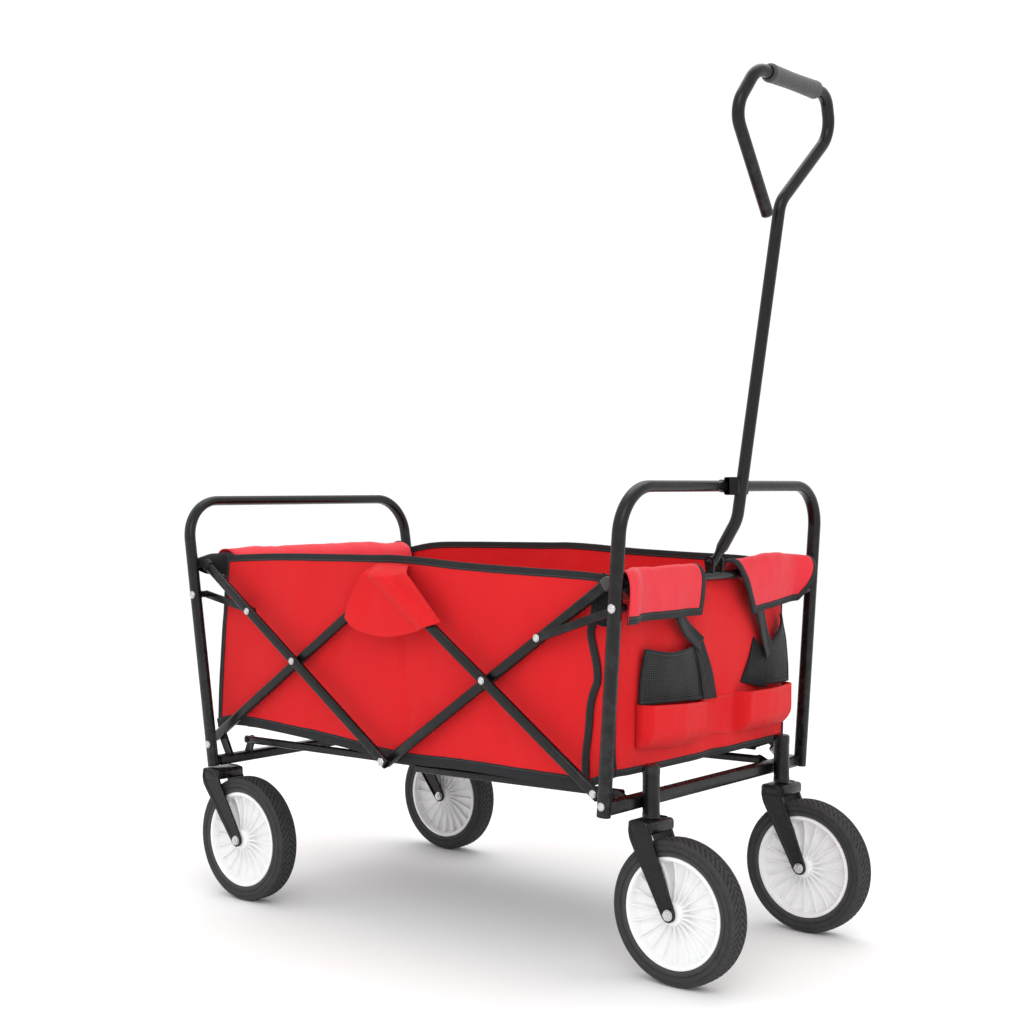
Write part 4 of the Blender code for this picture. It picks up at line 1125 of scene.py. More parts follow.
def build_wheels():
    """All four wheels with their forks, axles and caster housings."""
    for word in SIDES:
        for end, fork_name, body in (
            ("rear", "rear_fork_" + word, "rear_end"),
            ("front", "caster_fork_" + word, "caster_" + word),
        ):
            spin = joint_at[end + "_wheel_spin_" + word]
            axle = (spin.x - MIDDLE_X, spin.z)
            fork(fork_name, end, axle, spin.y, body)
            axle_bolt(end + "_axle_" + word, axle, spin.y, body)
            wheel(end + "_wheel_" + word)
        caster_housing(word)


# ---- pull handle ---------------------------------------------------------------------------------
def loop_place(across, up):
    """A spot on the leaning plane of the handle's loop, from the clip."""
    x = HANDLE_CLIP[0] + up * math.sin(HANDLE_LEAN)
    return at(x, across, HANDLE_CLIP[1] + up * math.cos(HANDLE_LEAN))


def pull_handle():
    """One bent tube: flattened at its pivot, straight past the clip, and round its open loop."""
    pivot = joint_at["handle_pivot"]
    corners = [(pivot, 0), (at(HANDLE_KNEE[0], 0, HANDLE_KNEE[1]), 0.050)]
    corners += [(loop_place(across, up), radius) for across, up, radius in LOOP]
    corners += [(loop_place(*LOOP_END), 0)]
    path = rounded_path(corners, steps=18)
    way = (path[1] - path[0]).normalized()
    path = [path[0] + way * step for step in (-0.004, 0.006, 0.014, 0.018, 0.023)] + path[1:]
    thin = NECK_RADIUS / HANDLE_RADIUS
    scales = [(thin, 0.9), (thin, 0.9), (thin, 0.92), (0.78, 0.97), (1.0, 1.0)]
    scales += [(1.0, 1.0)] * (len(path) - len(scales))
    tube = sweep(path, ring(HANDLE_RADIUS, 28), normal=(0, 1, 0), scales=scales)
    steel("handle_tube", [tube], "handle", ["handle_shaft"])
    end_way = (path[-1] - path[-2]).normalized()
    plug_path = [path[-1] + end_way * step for step in (-0.003, 0.0004, 0.0016, 0.0022)]
    sizes = [(size, size) for size in (0.9, 1.03, 0.98, 0.8)]
    plug = sweep(plug_path, ring(HANDLE_RADIUS, 28), normal=(1, 0, 0), scales=sizes)
    piece("handle_end_plug", [plug], GREY, "handle")
    bolt = pin(0.0025, -EAR_GAP, EAR_GAP, 16).moved(Matrix.Translation(pivot))
    bright("handle_pivot_pin", [bolt], "handle", ["handle_bolt"])
    foam_grip()


def foam_grip():
    """A foam sleeve, a little squeezed in its middle and rolled over at its ends."""
    centre = loop_place(GRIP_Y, LOOP[2][1])
    bore = HANDLE_RADIUS + 0.0003
    count = 48
    outline = [(bore, -GRIP_HALF + 0.001)]
    for i in range(count + 1):
        t = -1 + 2 * i / count
        roll = math.sqrt(max(0.0, 1 - max(0.0, (abs(t) - 0.955) / 0.045) ** 2))
        squeeze = 0.0007 * math.cos(t * math.pi / 2) ** 2
        swell = 0.0004 * math.exp(-((abs(t) - 0.9) / 0.06) ** 2)
        wall = (GRIP_RADIUS - squeeze + swell - bore) * max(roll, 0.25)
        outline.append((bore + wall + 0.00012 * math.sin(t * 41.0), GRIP_HALF * t))
    outline.append((bore, GRIP_HALF - 0.001))
    sleeve = lathe_ring(outline, 56).moved(Matrix.Translation(centre))
    piece("foam_sleeve", [sleeve], FOAM, "handle", ["handle_grip"])


def handle_clip():
    """A band round the top bar, and a block with two cheeks that hold the shaft."""
    place = Matrix.Translation(at(upright_x("front", TOP_Z["front"]), 0, TOP_Z["front"]))
    tilt = Matrix.Rotation(math.atan(LEAN["front"]), 4, "Y")
    half, back, outside = 0.0115, 0.0035, 0.0128
    cheek = [(back, -half), (0.0235, -half), (0.0245, -0.009), (0.0245, 0.009), (0.0235, half),
             (back, half)]
    cheek = softened(cheek, 0.0016, 3)
    inner = HANDLE_RADIUS + 0.0005
    parts = []
    for side in SIDES.values():
        parts.append(plate(cheek, side * inner, side * outside, 0.0009).moved(place))
    outer = rounded_box(TUBE_DEPTH + 0.0024, TUBE_WIDTH + 0.0024, 0.0080, 7)
    bore = rounded_box(TUBE_DEPTH + 0.0004, TUBE_WIDTH + 0.0004, 0.0070, 7)
    band = []
    for h, outline in ((-half, bore), (-half, outer), (half, outer), (half, bore), (-half, bore)):
        band.append([Vector((a, h, b)) for a, b in outline])
    parts.append(grid(band, wrap=True).moved(place @ tilt))
    block = [(back, -half), (0.0118, -half), (0.0118, half), (back, half)]
    parts.append(plate(softened(block, 0.0016, 2), -outside, outside, 0.0006).moved(place))
    piece("shaft_clip", parts, DARK_PLASTIC, "front_end", ["handle_clip"])


# ---- cloth tools ---------------------------------------------------------------------------------
FOLD_SIZES = ((1.0, 1.0), (0.45, 2.3), (0.2, 5.1))


def relief(rows, amount, seed, detail, pins=(1, 1, 1, 1), sign=1.0):
    """Moves a sheet's points along its normals by soft folds.

    detail is how close the folds are along each axis. pins hold the low, high, first and last
    edges.
    """
    count, wide = len(rows) - 1, len(rows[0]) - 1
    made = []
    for i, row in enumerate(rows):
        line = []
        for k, p in enumerate(row):
            along = row[min(k + 1, wide)] - row[max(k - 1, 0)]
            up = rows[min(i + 1, count)][k] - rows[max(i - 1, 0)][k]
            normal = along.cross(up).normalized() * sign
            v, u = i / count, k / wide
            hold = 1.0
            for pinned, distance in zip(pins, (v, 1 - v, u, 1 - u)):
                if pinned:
                    hold *= min(1.0, distance / EDGE_HOLD)
            where = Vector((p.x * detail[0], p.y * detail[1], p.z * detail[2] + seed))
            fold = sum(share * noise.noise(where * scale) for share, scale in FOLD_SIZES)
            line.append(p + normal * fold * amount * hold)
        made.append(line)
    return made


def bulged(rows, way, amount):
    """Pushes the middle of a sheet out along one way."""
    count, wide = len(rows) - 1, len(rows[0]) - 1
    push = Vector(way) * amount
    made = []
    for i, row in enumerate(rows):
        lift = math.sin(math.pi * i / count)
        made.append([p + push * lift * math.sin(math.pi * k / wide) for k, p in enumerate(row)])
    return made


def edges_of(rows):
    """The four edges of a sheet, each with its neighbouring line inside the sheet."""
    return {
        "low": (rows[0], rows[1]),
        "high": (rows[-1], rows[-2]),
        "first": ([r[0] for r in rows], [r[1] for r in rows]),
        "last": ([r[-1] for r in rows], [r[-2] for r in rows]),
    }


def tape_profile(width, thickness):
    """A tape folded over an edge: thin, with its fold round the outside."""
    half = thickness / 2
    face = half * 0.95
    upper = [(width, half * 0.75), (width - 0.0008, half), (-0.0004, face)]
    upper += [(-0.0004 - half * 0.9 * math.sin(a), face * math.cos(a)) for a in (0.5, 1.1, 1.57)]
    return upper + [(a, -b) for a, b in reversed(upper[:-1])]


def binding(edge, width, thickness=TAPE_THICKNESS, seed=0.0):
    """A tape along an edge, and its stitches on both faces."""
    line, inner = edge
    count = max(12, int(lengths(line)[-1] / TAPE_STEP))
    path, inside = resampled(line, count), resampled(inner, count)
    profile = tape_profile(width, thickness)
    rows, marks = [], []
    for p, q, way in zip(path, inside, directions(path)):
        inward = (q - p) - way * (q - p).dot(way)
        inward.normalize()
        normal = way.cross(inward).normalized()
        sway = noise.noise(Vector((p.x * 23, p.y * 23, p.z * 23 + seed)))
        middle = p + normal * TAPE_SWAY * sway
        grow = 1 + 0.05 * noise.noise(Vector((p.x * 40, p.y * 40, p.z * 40 + seed + 7)))
        rows.append([middle + inward * a * grow + normal * b for a, b in profile])
        marks.append((middle + inward * (width - STITCH_INSET) * grow, normal, way))
    return grid(rows, wrap=True, caps=True), stitches(marks, thickness / 2, 1, both=True)


def bound(rows, edges, first_seed, step, thickness=TAPE_THICKNESS):
    """Bindings of these widths along the named edges of a sheet."""
    parts = []
    for k, (edge, width) in enumerate(edges):
        parts += binding(edges_of(rows)[edge], width, thickness, first_seed + step * k)
    return parts


def stitch(start, end, lift):
    """One stitch: a short thread that rises out of the cloth and goes back in."""
    side = (end - start).normalized().cross(lift).normalized()
    rows = []
    for t, up in ((0.0, -0.0003), (0.18, 0.00012), (0.5, 0.0002), (0.82, 0.00012), (1.0, -0.0003)):
        middle = start.lerp(end, t) + lift * up
        rows.append([middle + side * c + lift * s for c, s in ring(THREAD_RADIUS, 6)])
    return grid(rows, wrap=True, caps=True)


def stitches(marks, lift, look, both):
    """Stitches along a line of (point, normal, way), on one face of the cloth or on both."""
    line = [point for point, _, _ in marks]
    total = lengths(line)
    points, faces = [], []
    k = 0
    for i in range(int(total[-1] / STITCH_PITCH)):
        want = (i + 0.5) * STITCH_PITCH
        while k < len(line) - 2 and total[k + 1] < want:
            k += 1
        here = line[k].lerp(line[k + 1], (want - total[k]) / max(total[k + 1] - total[k], 1e-9))
        _, normal, way = marks[k]
        reach = way * STITCH_LENGTH / 2
        for sign in ((1, -1) if both else (1,)):
            middle = here + normal * sign * lift
            made = stitch(middle - reach, middle + reach, normal * sign)
            faces += [tuple(j + len(points) for j in f) for f in made.faces]
            points += made.points
    return Part(points, faces, None, look)


def seam(line, normal, lift=0.0007):
    """A row of stitches along a line on one face of a sheet."""
    path = resampled([Vector(p) for p in line], max(6, int(lengths(line)[-1] / 0.008)))
    marks = [(p, Vector(normal), way) for p, way in zip(path, directions(path))]
    return stitches(marks, lift, 0, both=False)


def squash_sides(made):
    """Gives a sheet of side cloth a mesh of its own."""
    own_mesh(made)


# ---- basket --------------------------------------------------------------------------------------
SIDE_FOOT = [
    (-0.381, 0.2395), (-0.350, 0.2470), (-0.297, 0.2482), (-0.222, 0.2449), (-0.125, 0.2391),
    (-0.038, 0.2315), (0.021, 0.2292), (0.108, 0.2316), (0.193, 0.2311), (0.3145, 0.2305),
]
SIDE_TOP = [
    (-0.362, 0.4965), (-0.300, 0.5000), (-0.221, 0.5030), (-0.060, 0.5055), (-0.020, 0.5065),
    (0.033, 0.5048), (0.106, 0.5005), (0.200, 0.4975), (0.300, 0.4952), (0.345, 0.4925),
]
FRONT_SEAM = [
    (0.345, 0.4925), (0.334, 0.473), (0.3282, 0.455), (0.3262, 0.436), (0.3215, 0.423),
    (0.326, 0.403), (0.3311, 0.383), (0.3320, 0.363), (0.3265, 0.3500), (0.3215, 0.334),
    (0.3185, 0.302), (0.3140, 0.2687), (0.3145, 0.2305),
]
REAR_SEAM = [
    (-0.362, 0.4965), (-0.3665, 0.4223), (-0.3700, 0.393), (-0.374, 0.3463), (-0.378, 0.2985),
    (-0.381, 0.2395),
]
SIDE_EDGES = (("low", 0.0130), ("high", 0.0085), ("first", 0.0075), ("last", 0.0085))
CREASES = (
    (0.012, -0.02, 0.0026, 0.010),
    (-0.19, 0.13, 0.0015, 0.012),
    (0.20, -0.12, 0.0015, 0.012),
    (0.052, 0.01, 0.0012, 0.016),
)


def side_wall(word, side):
    """The long wall and its binding. The left one stands a little higher in its middle."""
    y = side * SIDE_Y
    lift = 0.0065 if side > 0 else 0.0
    top = []
    for x, z in SIDE_TOP:
        share = min(1.0, (0.345 - x) / 0.05, (x + 0.362) / 0.05)
        top.append(at(x, y, z + lift * share))
    first, last = side_line(REAR_SEAM[::-1], y), side_line(FRONT_SEAM[::-1], y)
    rows = coons(side_line(SIDE_FOOT, y), top, first, last, 56, 150)
    rows = relief(rows, 0.0032, 3.1 * side, detail=(8.0, 1.0, 4.0), sign=side)
    rows = fold_lines(rows, side)
    made = cloth("side_wall_" + word, rows, RED, "rear_end", ["side_panel_" + word])
    squash_sides(made)
    parts = bound(rows, SIDE_EDGES, side, 5.0)
    squash_sides(sewn("side_binding_" + word, parts, [TAPE, BLACK_THREAD], "rear_end"))


def fold_lines(rows, side):
    """Creases where the wall folds with the frame. Each has a foot, a lean, a depth and a width."""
    made = []
    for row in rows:
        line = []
        for p in row:
            rise = (p.z - FLOOR_Z) / (HEM_Z - FLOOR_Z)
            hold = max(0.0, min(1.0, rise / 0.15, (1 - rise) / 0.1))
            crease = 0.0
            for foot, lean, depth, width in CREASES:
                away = (p.x - MIDDLE_X - foot - lean * rise) / width
                crease += depth * math.exp(-away * away)
            line.append(p + Vector((0, -side * crease * hold, 0)))
        made.append(line)
    return made


def joint_flap(word, side):
    """The flap over the upper middle joint: sewn on under the top hem, and free below."""
    y = side * 0.2215
    low = [
        (-0.080, 0.4215), (-0.066, 0.4084), (-0.036, 0.4007), (0.0, 0.3994), (0.046, 0.4082),
        (0.0925, 0.4239),
    ]
    high = [(-0.038, 0.496), (-0.014, 0.4968), (0.013, 0.4955)]
    first = [(-0.080, 0.4215), (-0.072, 0.444), (-0.056, 0.470), (-0.038, 0.496)]
    last = [(0.0925, 0.4239), (0.0604, 0.4562), (0.0300, 0.4860), (0.013, 0.4955)]
    rows = coons(*[side_line(places, y) for places in (low, high, first, last)], 56, 72)
    head, foot = Vector((-0.024, 0.484)), Vector((0.0735, 0.4165))
    run = foot - head
    shaped = []
    for i, row in enumerate(rows):
        v = i / (len(rows) - 1)
        tuck = (SIDE_Y + 0.0026 - abs(y)) * max(0.0, (v - 0.80) / 0.20) ** 1.3
        fade = 1 - max(0.0, (v - 0.88) / 0.12)
        line = []
        for k, p in enumerate(row):
            u = k / (len(row) - 1)
            spot = Vector((p.x - MIDDLE_X, p.z)) - head
            t = min(1.0, max(0.0, spot.dot(run) / run.length_squared))
            ridge = 0.0074 * math.exp(-(((spot - run * t).length / 0.0105) ** 4))
            rim = 0.0025 * max(0.0, (u - 0.94) / 0.06) - 0.004 * max(0.0, (0.25 - u) / 0.25)
            line.append(p + Vector((0, side * (ridge * fade + tuck - rim), 0)))
        shaped.append(line)
    rows = relief(
        shaped, 0.0012, 11.0 + side, detail=(16.0, 1.0, 12.0), pins=(0, 1, 0, 0), sign=side
    )
    made = cloth("joint_flap_cloth_" + word, rows, RED, "rear_end", ["joint_flap_" + word])
    squash_sides(made)
    lines = [
        seam(rows[-3][3:-3], (0, side, 0)),
        seam([r[-3] for r in rows[3:-3]], (0, side, 0), lift=0.0009),
    ]
    squash_sides(sewn("joint_flap_seams_" + word, lines, [RED_THREAD], "rear_end"))


def wall_sheet(name, rows, node, body, foot_tape, seed):
    """An end wall, bound along its foot."""
    made = cloth(name, rows, RED, body, [node])
    parts = bound(rows, [("low", foot_tape)], seed, 0.0)
    sewn(name + "_binding", parts, [TAPE, BLACK_THREAD], body)


WALL_NEAR, WALL_FAR = -0.1925, 0.1985
WALL_FOOT, WALL_TOP = 0.2500, 0.4800


def wall_x(y, z):
    """The front wall's face: it bellies out between its corners, most of all above the middle."""
    t = min(1.0, max(-1.0, (2 * y - WALL_NEAR - WALL_FAR) / (WALL_FAR - WALL_NEAR)))
    v = min(1.0, max(0.0, (z - WALL_FOOT) / (WALL_TOP - WALL_FOOT)))
    dip = 0.004 * math.exp(-((y - 0.012) / 0.02) ** 2) * (1 - v)
    return FRONT_WALL_X + 0.009 * (1 - t * t) * math.sin(math.pi * (0.12 + 0.72 * v)) - dip


def front_wall():
    """The front wall turns both corners and runs back along the sides to its seams."""
    count, steps = 60, 20
    seam_line = smooth_line(side_line(FRONT_SEAM[::-1], 0), count)
    rows = []
    for i, edge in enumerate(seam_line):
        v = i / count
        z = WALL_FOOT + (WALL_TOP - WALL_FOOT) * v
        seam_x, seam_z = edge.x - MIDDLE_X, edge.z
        low, turn = seam_z + 0.003 * (1 - v), z * 0.7 + seam_z * 0.3
        near = [at(seam_x, -0.1922, low), at(0.342, -0.1955, turn)]
        far = [at(0.342, 0.1990, turn), at(seam_x, 0.1922, low)]
        front = []
        for k in range(steps + 1):
            y = WALL_NEAR + (WALL_FAR - WALL_NEAR) * k / steps
            corner = max(0.0, abs(2 * k / steps - 1) - 0.9) / 0.1
            front.append(at(wall_x(y, z) - 0.0025 * corner, y, z))
        rows.append(smooth_line(near + front + far, 170))
    rows = relief(rows, 0.0046, 21.0, detail=(5.0, 9.0, 6.0))
    wall_sheet("front_wall", rows, "front_panel", "front_end", 0.0075, seed=2.0)
    piping = []
    for y in (WALL_FAR, WALL_NEAR):
        line = corner_column(rows, y)
        piping.append(sweep(line, stadium(0.0042, 0.0030, 5), normal=(1, 0, 0)))
    sewn("front_wall_piping", piping, [TAPE], "front_end")


def corner_column(rows, y):
    """The line up a sheet that stays nearest to one place across the wagon."""
    corner_x = MIDDLE_X + 0.354
    line = []
    for row in rows:
        spot = min(row, key=lambda p: abs(p.y - y) + abs(p.x - corner_x) * 0.5)
        line.append(spot + Vector((0.0009, 0.0009 if y > 0 else -0.0009, 0)))
    return smooth_line(line[::6] + [line[-1]], 60)


def rear_wall():
    """A plain wall that bellies out to the rear."""
    half = REAR_HALF_Y
    low, high = [[at(x, y, z) for y in (-half, 0.0, half)] for x, z in (REAR_LOW, REAR_HIGH)]
    first, last = [side_line([REAR_LOW, REAR_MIDDLE, REAR_HIGH], y) for y in (-half, half)]
    rows = bulged(coons(low, high, first, last, 50, 96), (-1, 0, 0), 0.006)
    rows = relief(rows, 0.0030, 33.0, detail=(5.0, 9.0, 5.0))
    wall_sheet("rear_wall", rows, "rear_panel", "rear_end", 0.009, seed=5.0)


def floor_height(x, y):
    """The floor: level, but lifted at its front edge and where the side walls' feet are high."""
    climb = max(0.0, min(1.0, (x - 0.24) / 0.094))
    foot = FLOOR_Z
    for (x0, z0), (x1, z1) in zip(SIDE_FOOT, SIDE_FOOT[1:]):
        if x0 <= x <= x1:
            foot = z0 + (z1 - z0) * (x - x0) / (x1 - x0)
            break
    side = max(0.0, foot - FLOOR_Z + 0.0020) * (abs(y) / 0.1915) ** 4 if x < 0 else 0.0
    return FLOOR_Z - 0.0012 + max(0.0066 * climb * climb, side)


def floor_lip(end):
    """The end of the floor cloth: from the foot of the end wall in to the first stiffener."""
    sign = SIGN[end]
    outer = (0.3555, WALL_FOOT) if end == "front" else (-0.3795, 0.2435)
    across = (-FLOOR_HALF_Y, 0.0, FLOOR_HALF_Y)
    low = [at(sign * LIP_X, y, floor_height(sign * LIP_X, y) + 0.0004) for y in across]
    high = [at(outer[0], y, outer[1]) for y in across]
    first = [low[0], (low[0] + high[0]) / 2, high[0]]
    last = [Vector((p.x, -p.y, p.z)) for p in first]
    rows = coons(low, high, first, last, 14, 80)
    rows = relief(rows, 0.0014, 45.0, detail=(12.0, 12.0, 12.0))
    made = cloth("floor_lip_" + end, rows, LINING, None)
    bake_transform(made)


def floor_half(end):
    """Half of the floor: a stiffener under red cloth, its black cover, and seams across it."""
    sign = SIGN[end]
    near, far = sign * FLOOR_NEAR_X, sign * FLOOR_FAR_X
    count = 60
    rows = []
    for i in range(count + 1):
        x = near + (far - near) * i / count
        row = []
        for k in range(count + 1):
            t = 2 * k / count - 1
            sag = -0.0022 * math.sin(math.pi * i / count) * (1 - t * t)
            row.append(at(x, FLOOR_HALF_Y * t, floor_height(x, FLOOR_HALF_Y * t) + sag))
        rows.append(row)
    rows = relief(rows, 0.0014, 41.0 + sign, detail=(6.0, 6.0, 6.0))
    body = "floor_" + end
    under = [[p - Vector((0, 0, COVER_DROP)) for p in row] for row in rows]
    cover = cloth("floor_cover_" + end, under, DARK_CLOTH, body, thickness=COVER_THICKNESS)
    replaced = ["floor_panel"] if end == "rear" else ()
    made = cloth("floor_board_" + end, rows, LINING, body, replaced, FLOOR_THICKNESS)
    lines = []
    across = [-0.18 + 0.03 * k for k in range(13)]
    for x in (sign * 0.012, sign * 0.306):
        spots = [at(x, y, floor_height(x, y) + 0.0016) for y in across]
        lines.append(seam(spots, (0, 0, 1)))
    sewn("floor_seams_" + end, lines, [RED_THREAD], body)


def saddle_rows(end, place, profile):
    """Cloth over a top rail.

    place gives the first and last Y, the puff and the skirt's slant at each share of the profile.
    """
    columns, steps = 76, 48
    rows = []
    for i, p in enumerate(smooth_line([Vector((u, 0, z)) for u, z in profile], steps)):
        v = i / steps
        first, last, puff, skirt = place(v)
        crest = math.sin(math.pi * v) ** 1.1
        row = []
        for k in range(columns + 1):
            t = k / columns
            y = first + (last - first) * t
            swell = puff * math.sin(math.pi * (0.06 + 0.88 * t)) ** 0.7 * crest
            drop = skirt * (t - 0.5) * max(0.0, (v - 0.55) / 0.45)
            out = Vector((SIGN[end] * 0.35, 0, 0.94)) * swell
            x = RAIL_X[end] + SIGN[end] * p.x + crank_shift(end, y, 0.018)
            row.append(at(x, y, p.z + drop) + out)
        rows.append(row)
    return rows


def crank_shift(end, y, half=CRANK_HALF):
    """How far the rail, or cloth that follows it more softly, stands out of its line."""
    span = RAIL_END_X[end] - RAIL_X[end]
    t = min(1.0, max(0.0, (abs(y) - (CRANK_Y - half)) / (2 * half)))
    return span * t * t * (3 - 2 * t)


def hem_flap(name, end, place, profile, node, seed, edges):
    """A flap that wraps over a top rail, bound along its free edges."""
    rows = saddle_rows(end, place, profile)
    rows = relief(rows, 0.0026, seed, detail=(9.0, 17.0, 9.0), pins=(1, 0, 0, 0))
    # Painted highlight: the flap's red is painted lighter and pinker than the walls' for the light
    # that falls on its top.
    made = cloth(name, rows, FLAP_RED_PAINTED_HIGHLIGHT, end + "_end", [node])
    parts = bound(rows, edges, seed, 2.0)
    sewn(name + "_binding", parts, [TAPE, BLACK_THREAD], end + "_end")


FRONT_SADDLE = [
    (-0.0135, 0.462), (-0.0125, 0.478), (-0.0095, 0.4935), (-0.001, 0.5005), (0.0075, 0.4975),
    (0.0120, 0.484), (0.0115, 0.462), (0.0080, 0.4395),
]
REAR_SADDLE = [
    (-0.0360, 0.455), (-0.0345, 0.481), (-0.0265, 0.4980), (-0.008, 0.5055), (0.0080, 0.5015),
    (0.0140, 0.486), (0.0135, 0.462), (0.0105, 0.4420),
]


def near_flap_place(v):
    """Straight edges, from outside the upright to the handle."""
    return -0.2238, -0.0445, 0.0030, 0.0


def far_flap_place(v):
    """The inner edge slants away from the handle, and the outer one bulges in its upper part."""
    share = max(0.0, (v - 0.38) / 0.62)
    bulge = 0.006 * math.sin(math.pi * v)
    return 0.027 + 0.055 * share, 0.208 + bulge - 0.018 * share ** 2, 0.0100, 0.012


def rear_flap_place(v):
    """The right edge slants in towards the foot."""
    return -0.1885 + 0.014 * max(0.0, v - 0.6) / 0.4, 0.1945, 0.0035, 0.0


def gusset(end, word, side):
    """Black cloth round the rail's end, between a wall's corner and its upright."""
    sign = SIGN[end]
    if end == "rear":
        wide, tall, skirt, inward = 0.0225, 0.0145, 0.014, 0.007
    else:
        wide, tall = (0.0115, 0.0105) if side < 0 else (0.017, 0.0125)
        skirt, inward = 0.026, 0.002
    rows = []
    for i in range(41):
        a = math.pi * (1.16 - 1.32 * i / 40)
        hang = max(0.0, 1 - i / 8, (i - 32) / 8)
        row = []
        for k in range(29):
            t = k / 28
            shrink = math.cos(t * math.pi * 0.36)
            if t > 0.86:
                shrink *= math.sqrt(max(0.0, 1 - ((t - 0.86) / 0.15) ** 2))
            y = side * (0.1880 + 0.0362 * t)
            middle = RAIL_X[end] - sign * inward * (1 - t) + crank_shift(end, y) * (0.55 + 0.35 * t)
            lift = math.sin(a) * tall * shrink - skirt * hang * (1 - 0.75 * t)
            row.append(at(middle + sign * math.cos(a) * wide * shrink, y, RAIL_Z + 0.0005 + lift))
        rows.append(row)
    rows = relief(rows, 0.0014, 51.0 + side + sign, detail=(20.0, 20.0, 20.0), pins=(0, 0, 0, 0))
    made = cloth(end + "_gusset_" + word, rows, DARK_CLOTH, end + "_end")


def corner_patch(word, side):
    """Black cloth sewn over the front wall's upper corner, behind the arm's cap."""
    low = [(0.3275, 0.434), (0.340, 0.431), (0.3535, 0.434)]
    high = [(0.338, 0.4915), (0.346, 0.492), (0.3545, 0.491)]
    first, last = [low[0], (0.3295, 0.460), high[0]], [low[2], (0.3542, 0.460), high[2]]
    y = side * (SIDE_Y + 0.0035)
    rows = coons(*[side_line(places, y) for places in (low, high, first, last)], 24, 14)
    rows = relief(rows, 0.0012, 57.0 + side, detail=(20.0, 20.0, 20.0), pins=(0, 0, 0, 0))
    made = cloth("corner_patch_" + word, rows, DARK_CLOTH, "front_end")


# ---- front pockets -------------------------------------------------------------------------------
NET_POCKETS = {
    "right": {
        "low": [(-0.1575, 0.3345), (-0.095, 0.3325), (-0.028, 0.3290)],
        "high": [(-0.1485, 0.4005), (-0.1045, 0.3935), (-0.050, 0.3970)],
        "outer": [(-0.1575, 0.3345), (-0.1535, 0.365), (-0.1485, 0.4005)],
        "inner": [(-0.028, 0.3290), (-0.036, 0.364), (-0.050, 0.3970)],
        "gusset": [(-0.028, 0.3280), (0.0176, 0.3250), (-0.0195, 0.4030), (-0.050, 0.3975)],
    },
    "left": {
        "low": [(0.1310, 0.3335), (0.168, 0.3325), (0.2035, 0.3310)],
        "high": [(0.1400, 0.3860), (0.1600, 0.4020), (0.1800, 0.4250)],
        "outer": [(0.2035, 0.3310), (0.2005, 0.3690), (0.1800, 0.4250)],
        "inner": [(0.1310, 0.3335), (0.1320, 0.3600), (0.1400, 0.3860)],
        "gusset": [(0.0715, 0.3405), (0.1330, 0.3270), (0.1360, 0.3740), (0.1067, 0.3985)],
    },
}
NET_EDGES = (("high", 0.0050), ("first", 0.0045), ("last", 0.0045), ("low", 0.0040))
STRAPS = {
    "right": [(-0.098, 0.462), (-0.0795, 0.432), (-0.054, 0.412), (-0.038, 0.399)],
    "left": [(0.088, 0.462), (0.1025, 0.438), (0.1200, 0.412), (0.1360, 0.372)],
}
CUPS = [(-0.158, -0.028), (0.060, 0.1955)]


def cup_depth(y, v):
    """How far the cup pockets' cloth stands off the wall."""
    depth = 0.0016
    for first, last in CUPS:
        u = (y - first) / (last - first)
        if 0 < u < 1:
            side_fall = min(1.0, min(u, 1 - u) / 0.07) ** 0.5
            full = math.sin(math.pi / 2 * min(1.0, v / 0.45 + 0.06)) ** 0.7
            depth += 0.0235 * full * side_fall * (0.90 + 0.10 * math.cos((u - 0.5) * 7))
    return depth


def cup_band():
    """One band of cloth across the wall's foot, pleated into two full pockets."""
    first, last = CUPS[0][0], CUPS[1][1]
    count, wide = 44, 170
    rows = []
    for i in range(count + 1):
        v = i / count
        row = []
        for k in range(wide + 1):
            y = first + (last - first) * k / wide
            top = 0.3335 - 0.006 * min(1.0, (y - first) / 0.12) + (0.002 if y > 0.06 else 0.0)
            rise = 0.004 * math.exp(-((y - 0.012) / 0.03) ** 2)
            foot = 0.2740 + 0.006 * max(0.0, 1 - (y - first) / 0.06) + rise
            z = foot + (top - foot) * v
            row.append(at(wall_x(y, z) + cup_depth(y, v), y, z))
        rows.append(row)
    rows = relief(rows, 0.0024, 61.0, detail=(14.0, 22.0, 14.0), pins=(1, 0, 1, 1))
    made = cloth("cup_pockets", rows, RED, "front_end", ["front_pockets"])
    lines = (rows[-3][2:-2], rows[1][2:-2], [r[1] for r in rows[2:]], [r[-2] for r in rows[2:]])
    parts = [seam(line, (1, 0, 0)) for line in lines]
    sewn("cup_pocket_seams", parts, [RED_THREAD], "front_end")


def net_surface(word, count, columns, back=0.0):
    """The face of a net pocket, standing off the wall at its mouth."""
    shape = NET_POCKETS[word]
    ends = ("outer", "inner") if word == "right" else ("inner", "outer")
    edges = [wall_line(shape[name]) for name in ("low", "high", *ends)]
    made = []
    for i, row in enumerate(coons(*edges, count, columns)):
        v = i / count
        line = []
        for k, p in enumerate(row):
            full = math.sin(math.pi * (0.06 + k / columns * 0.88)) ** 0.6
            depth = 0.0030 + 0.0110 * full * (0.65 + 0.35 * v)
            wave = 0.0018 * noise.noise(Vector((3.0, p.y * 34, p.z * 26)))
            line.append(at(wall_x(p.y, p.z) + depth + wave - back, p.y, p.z))
        made.append(line)
    return made


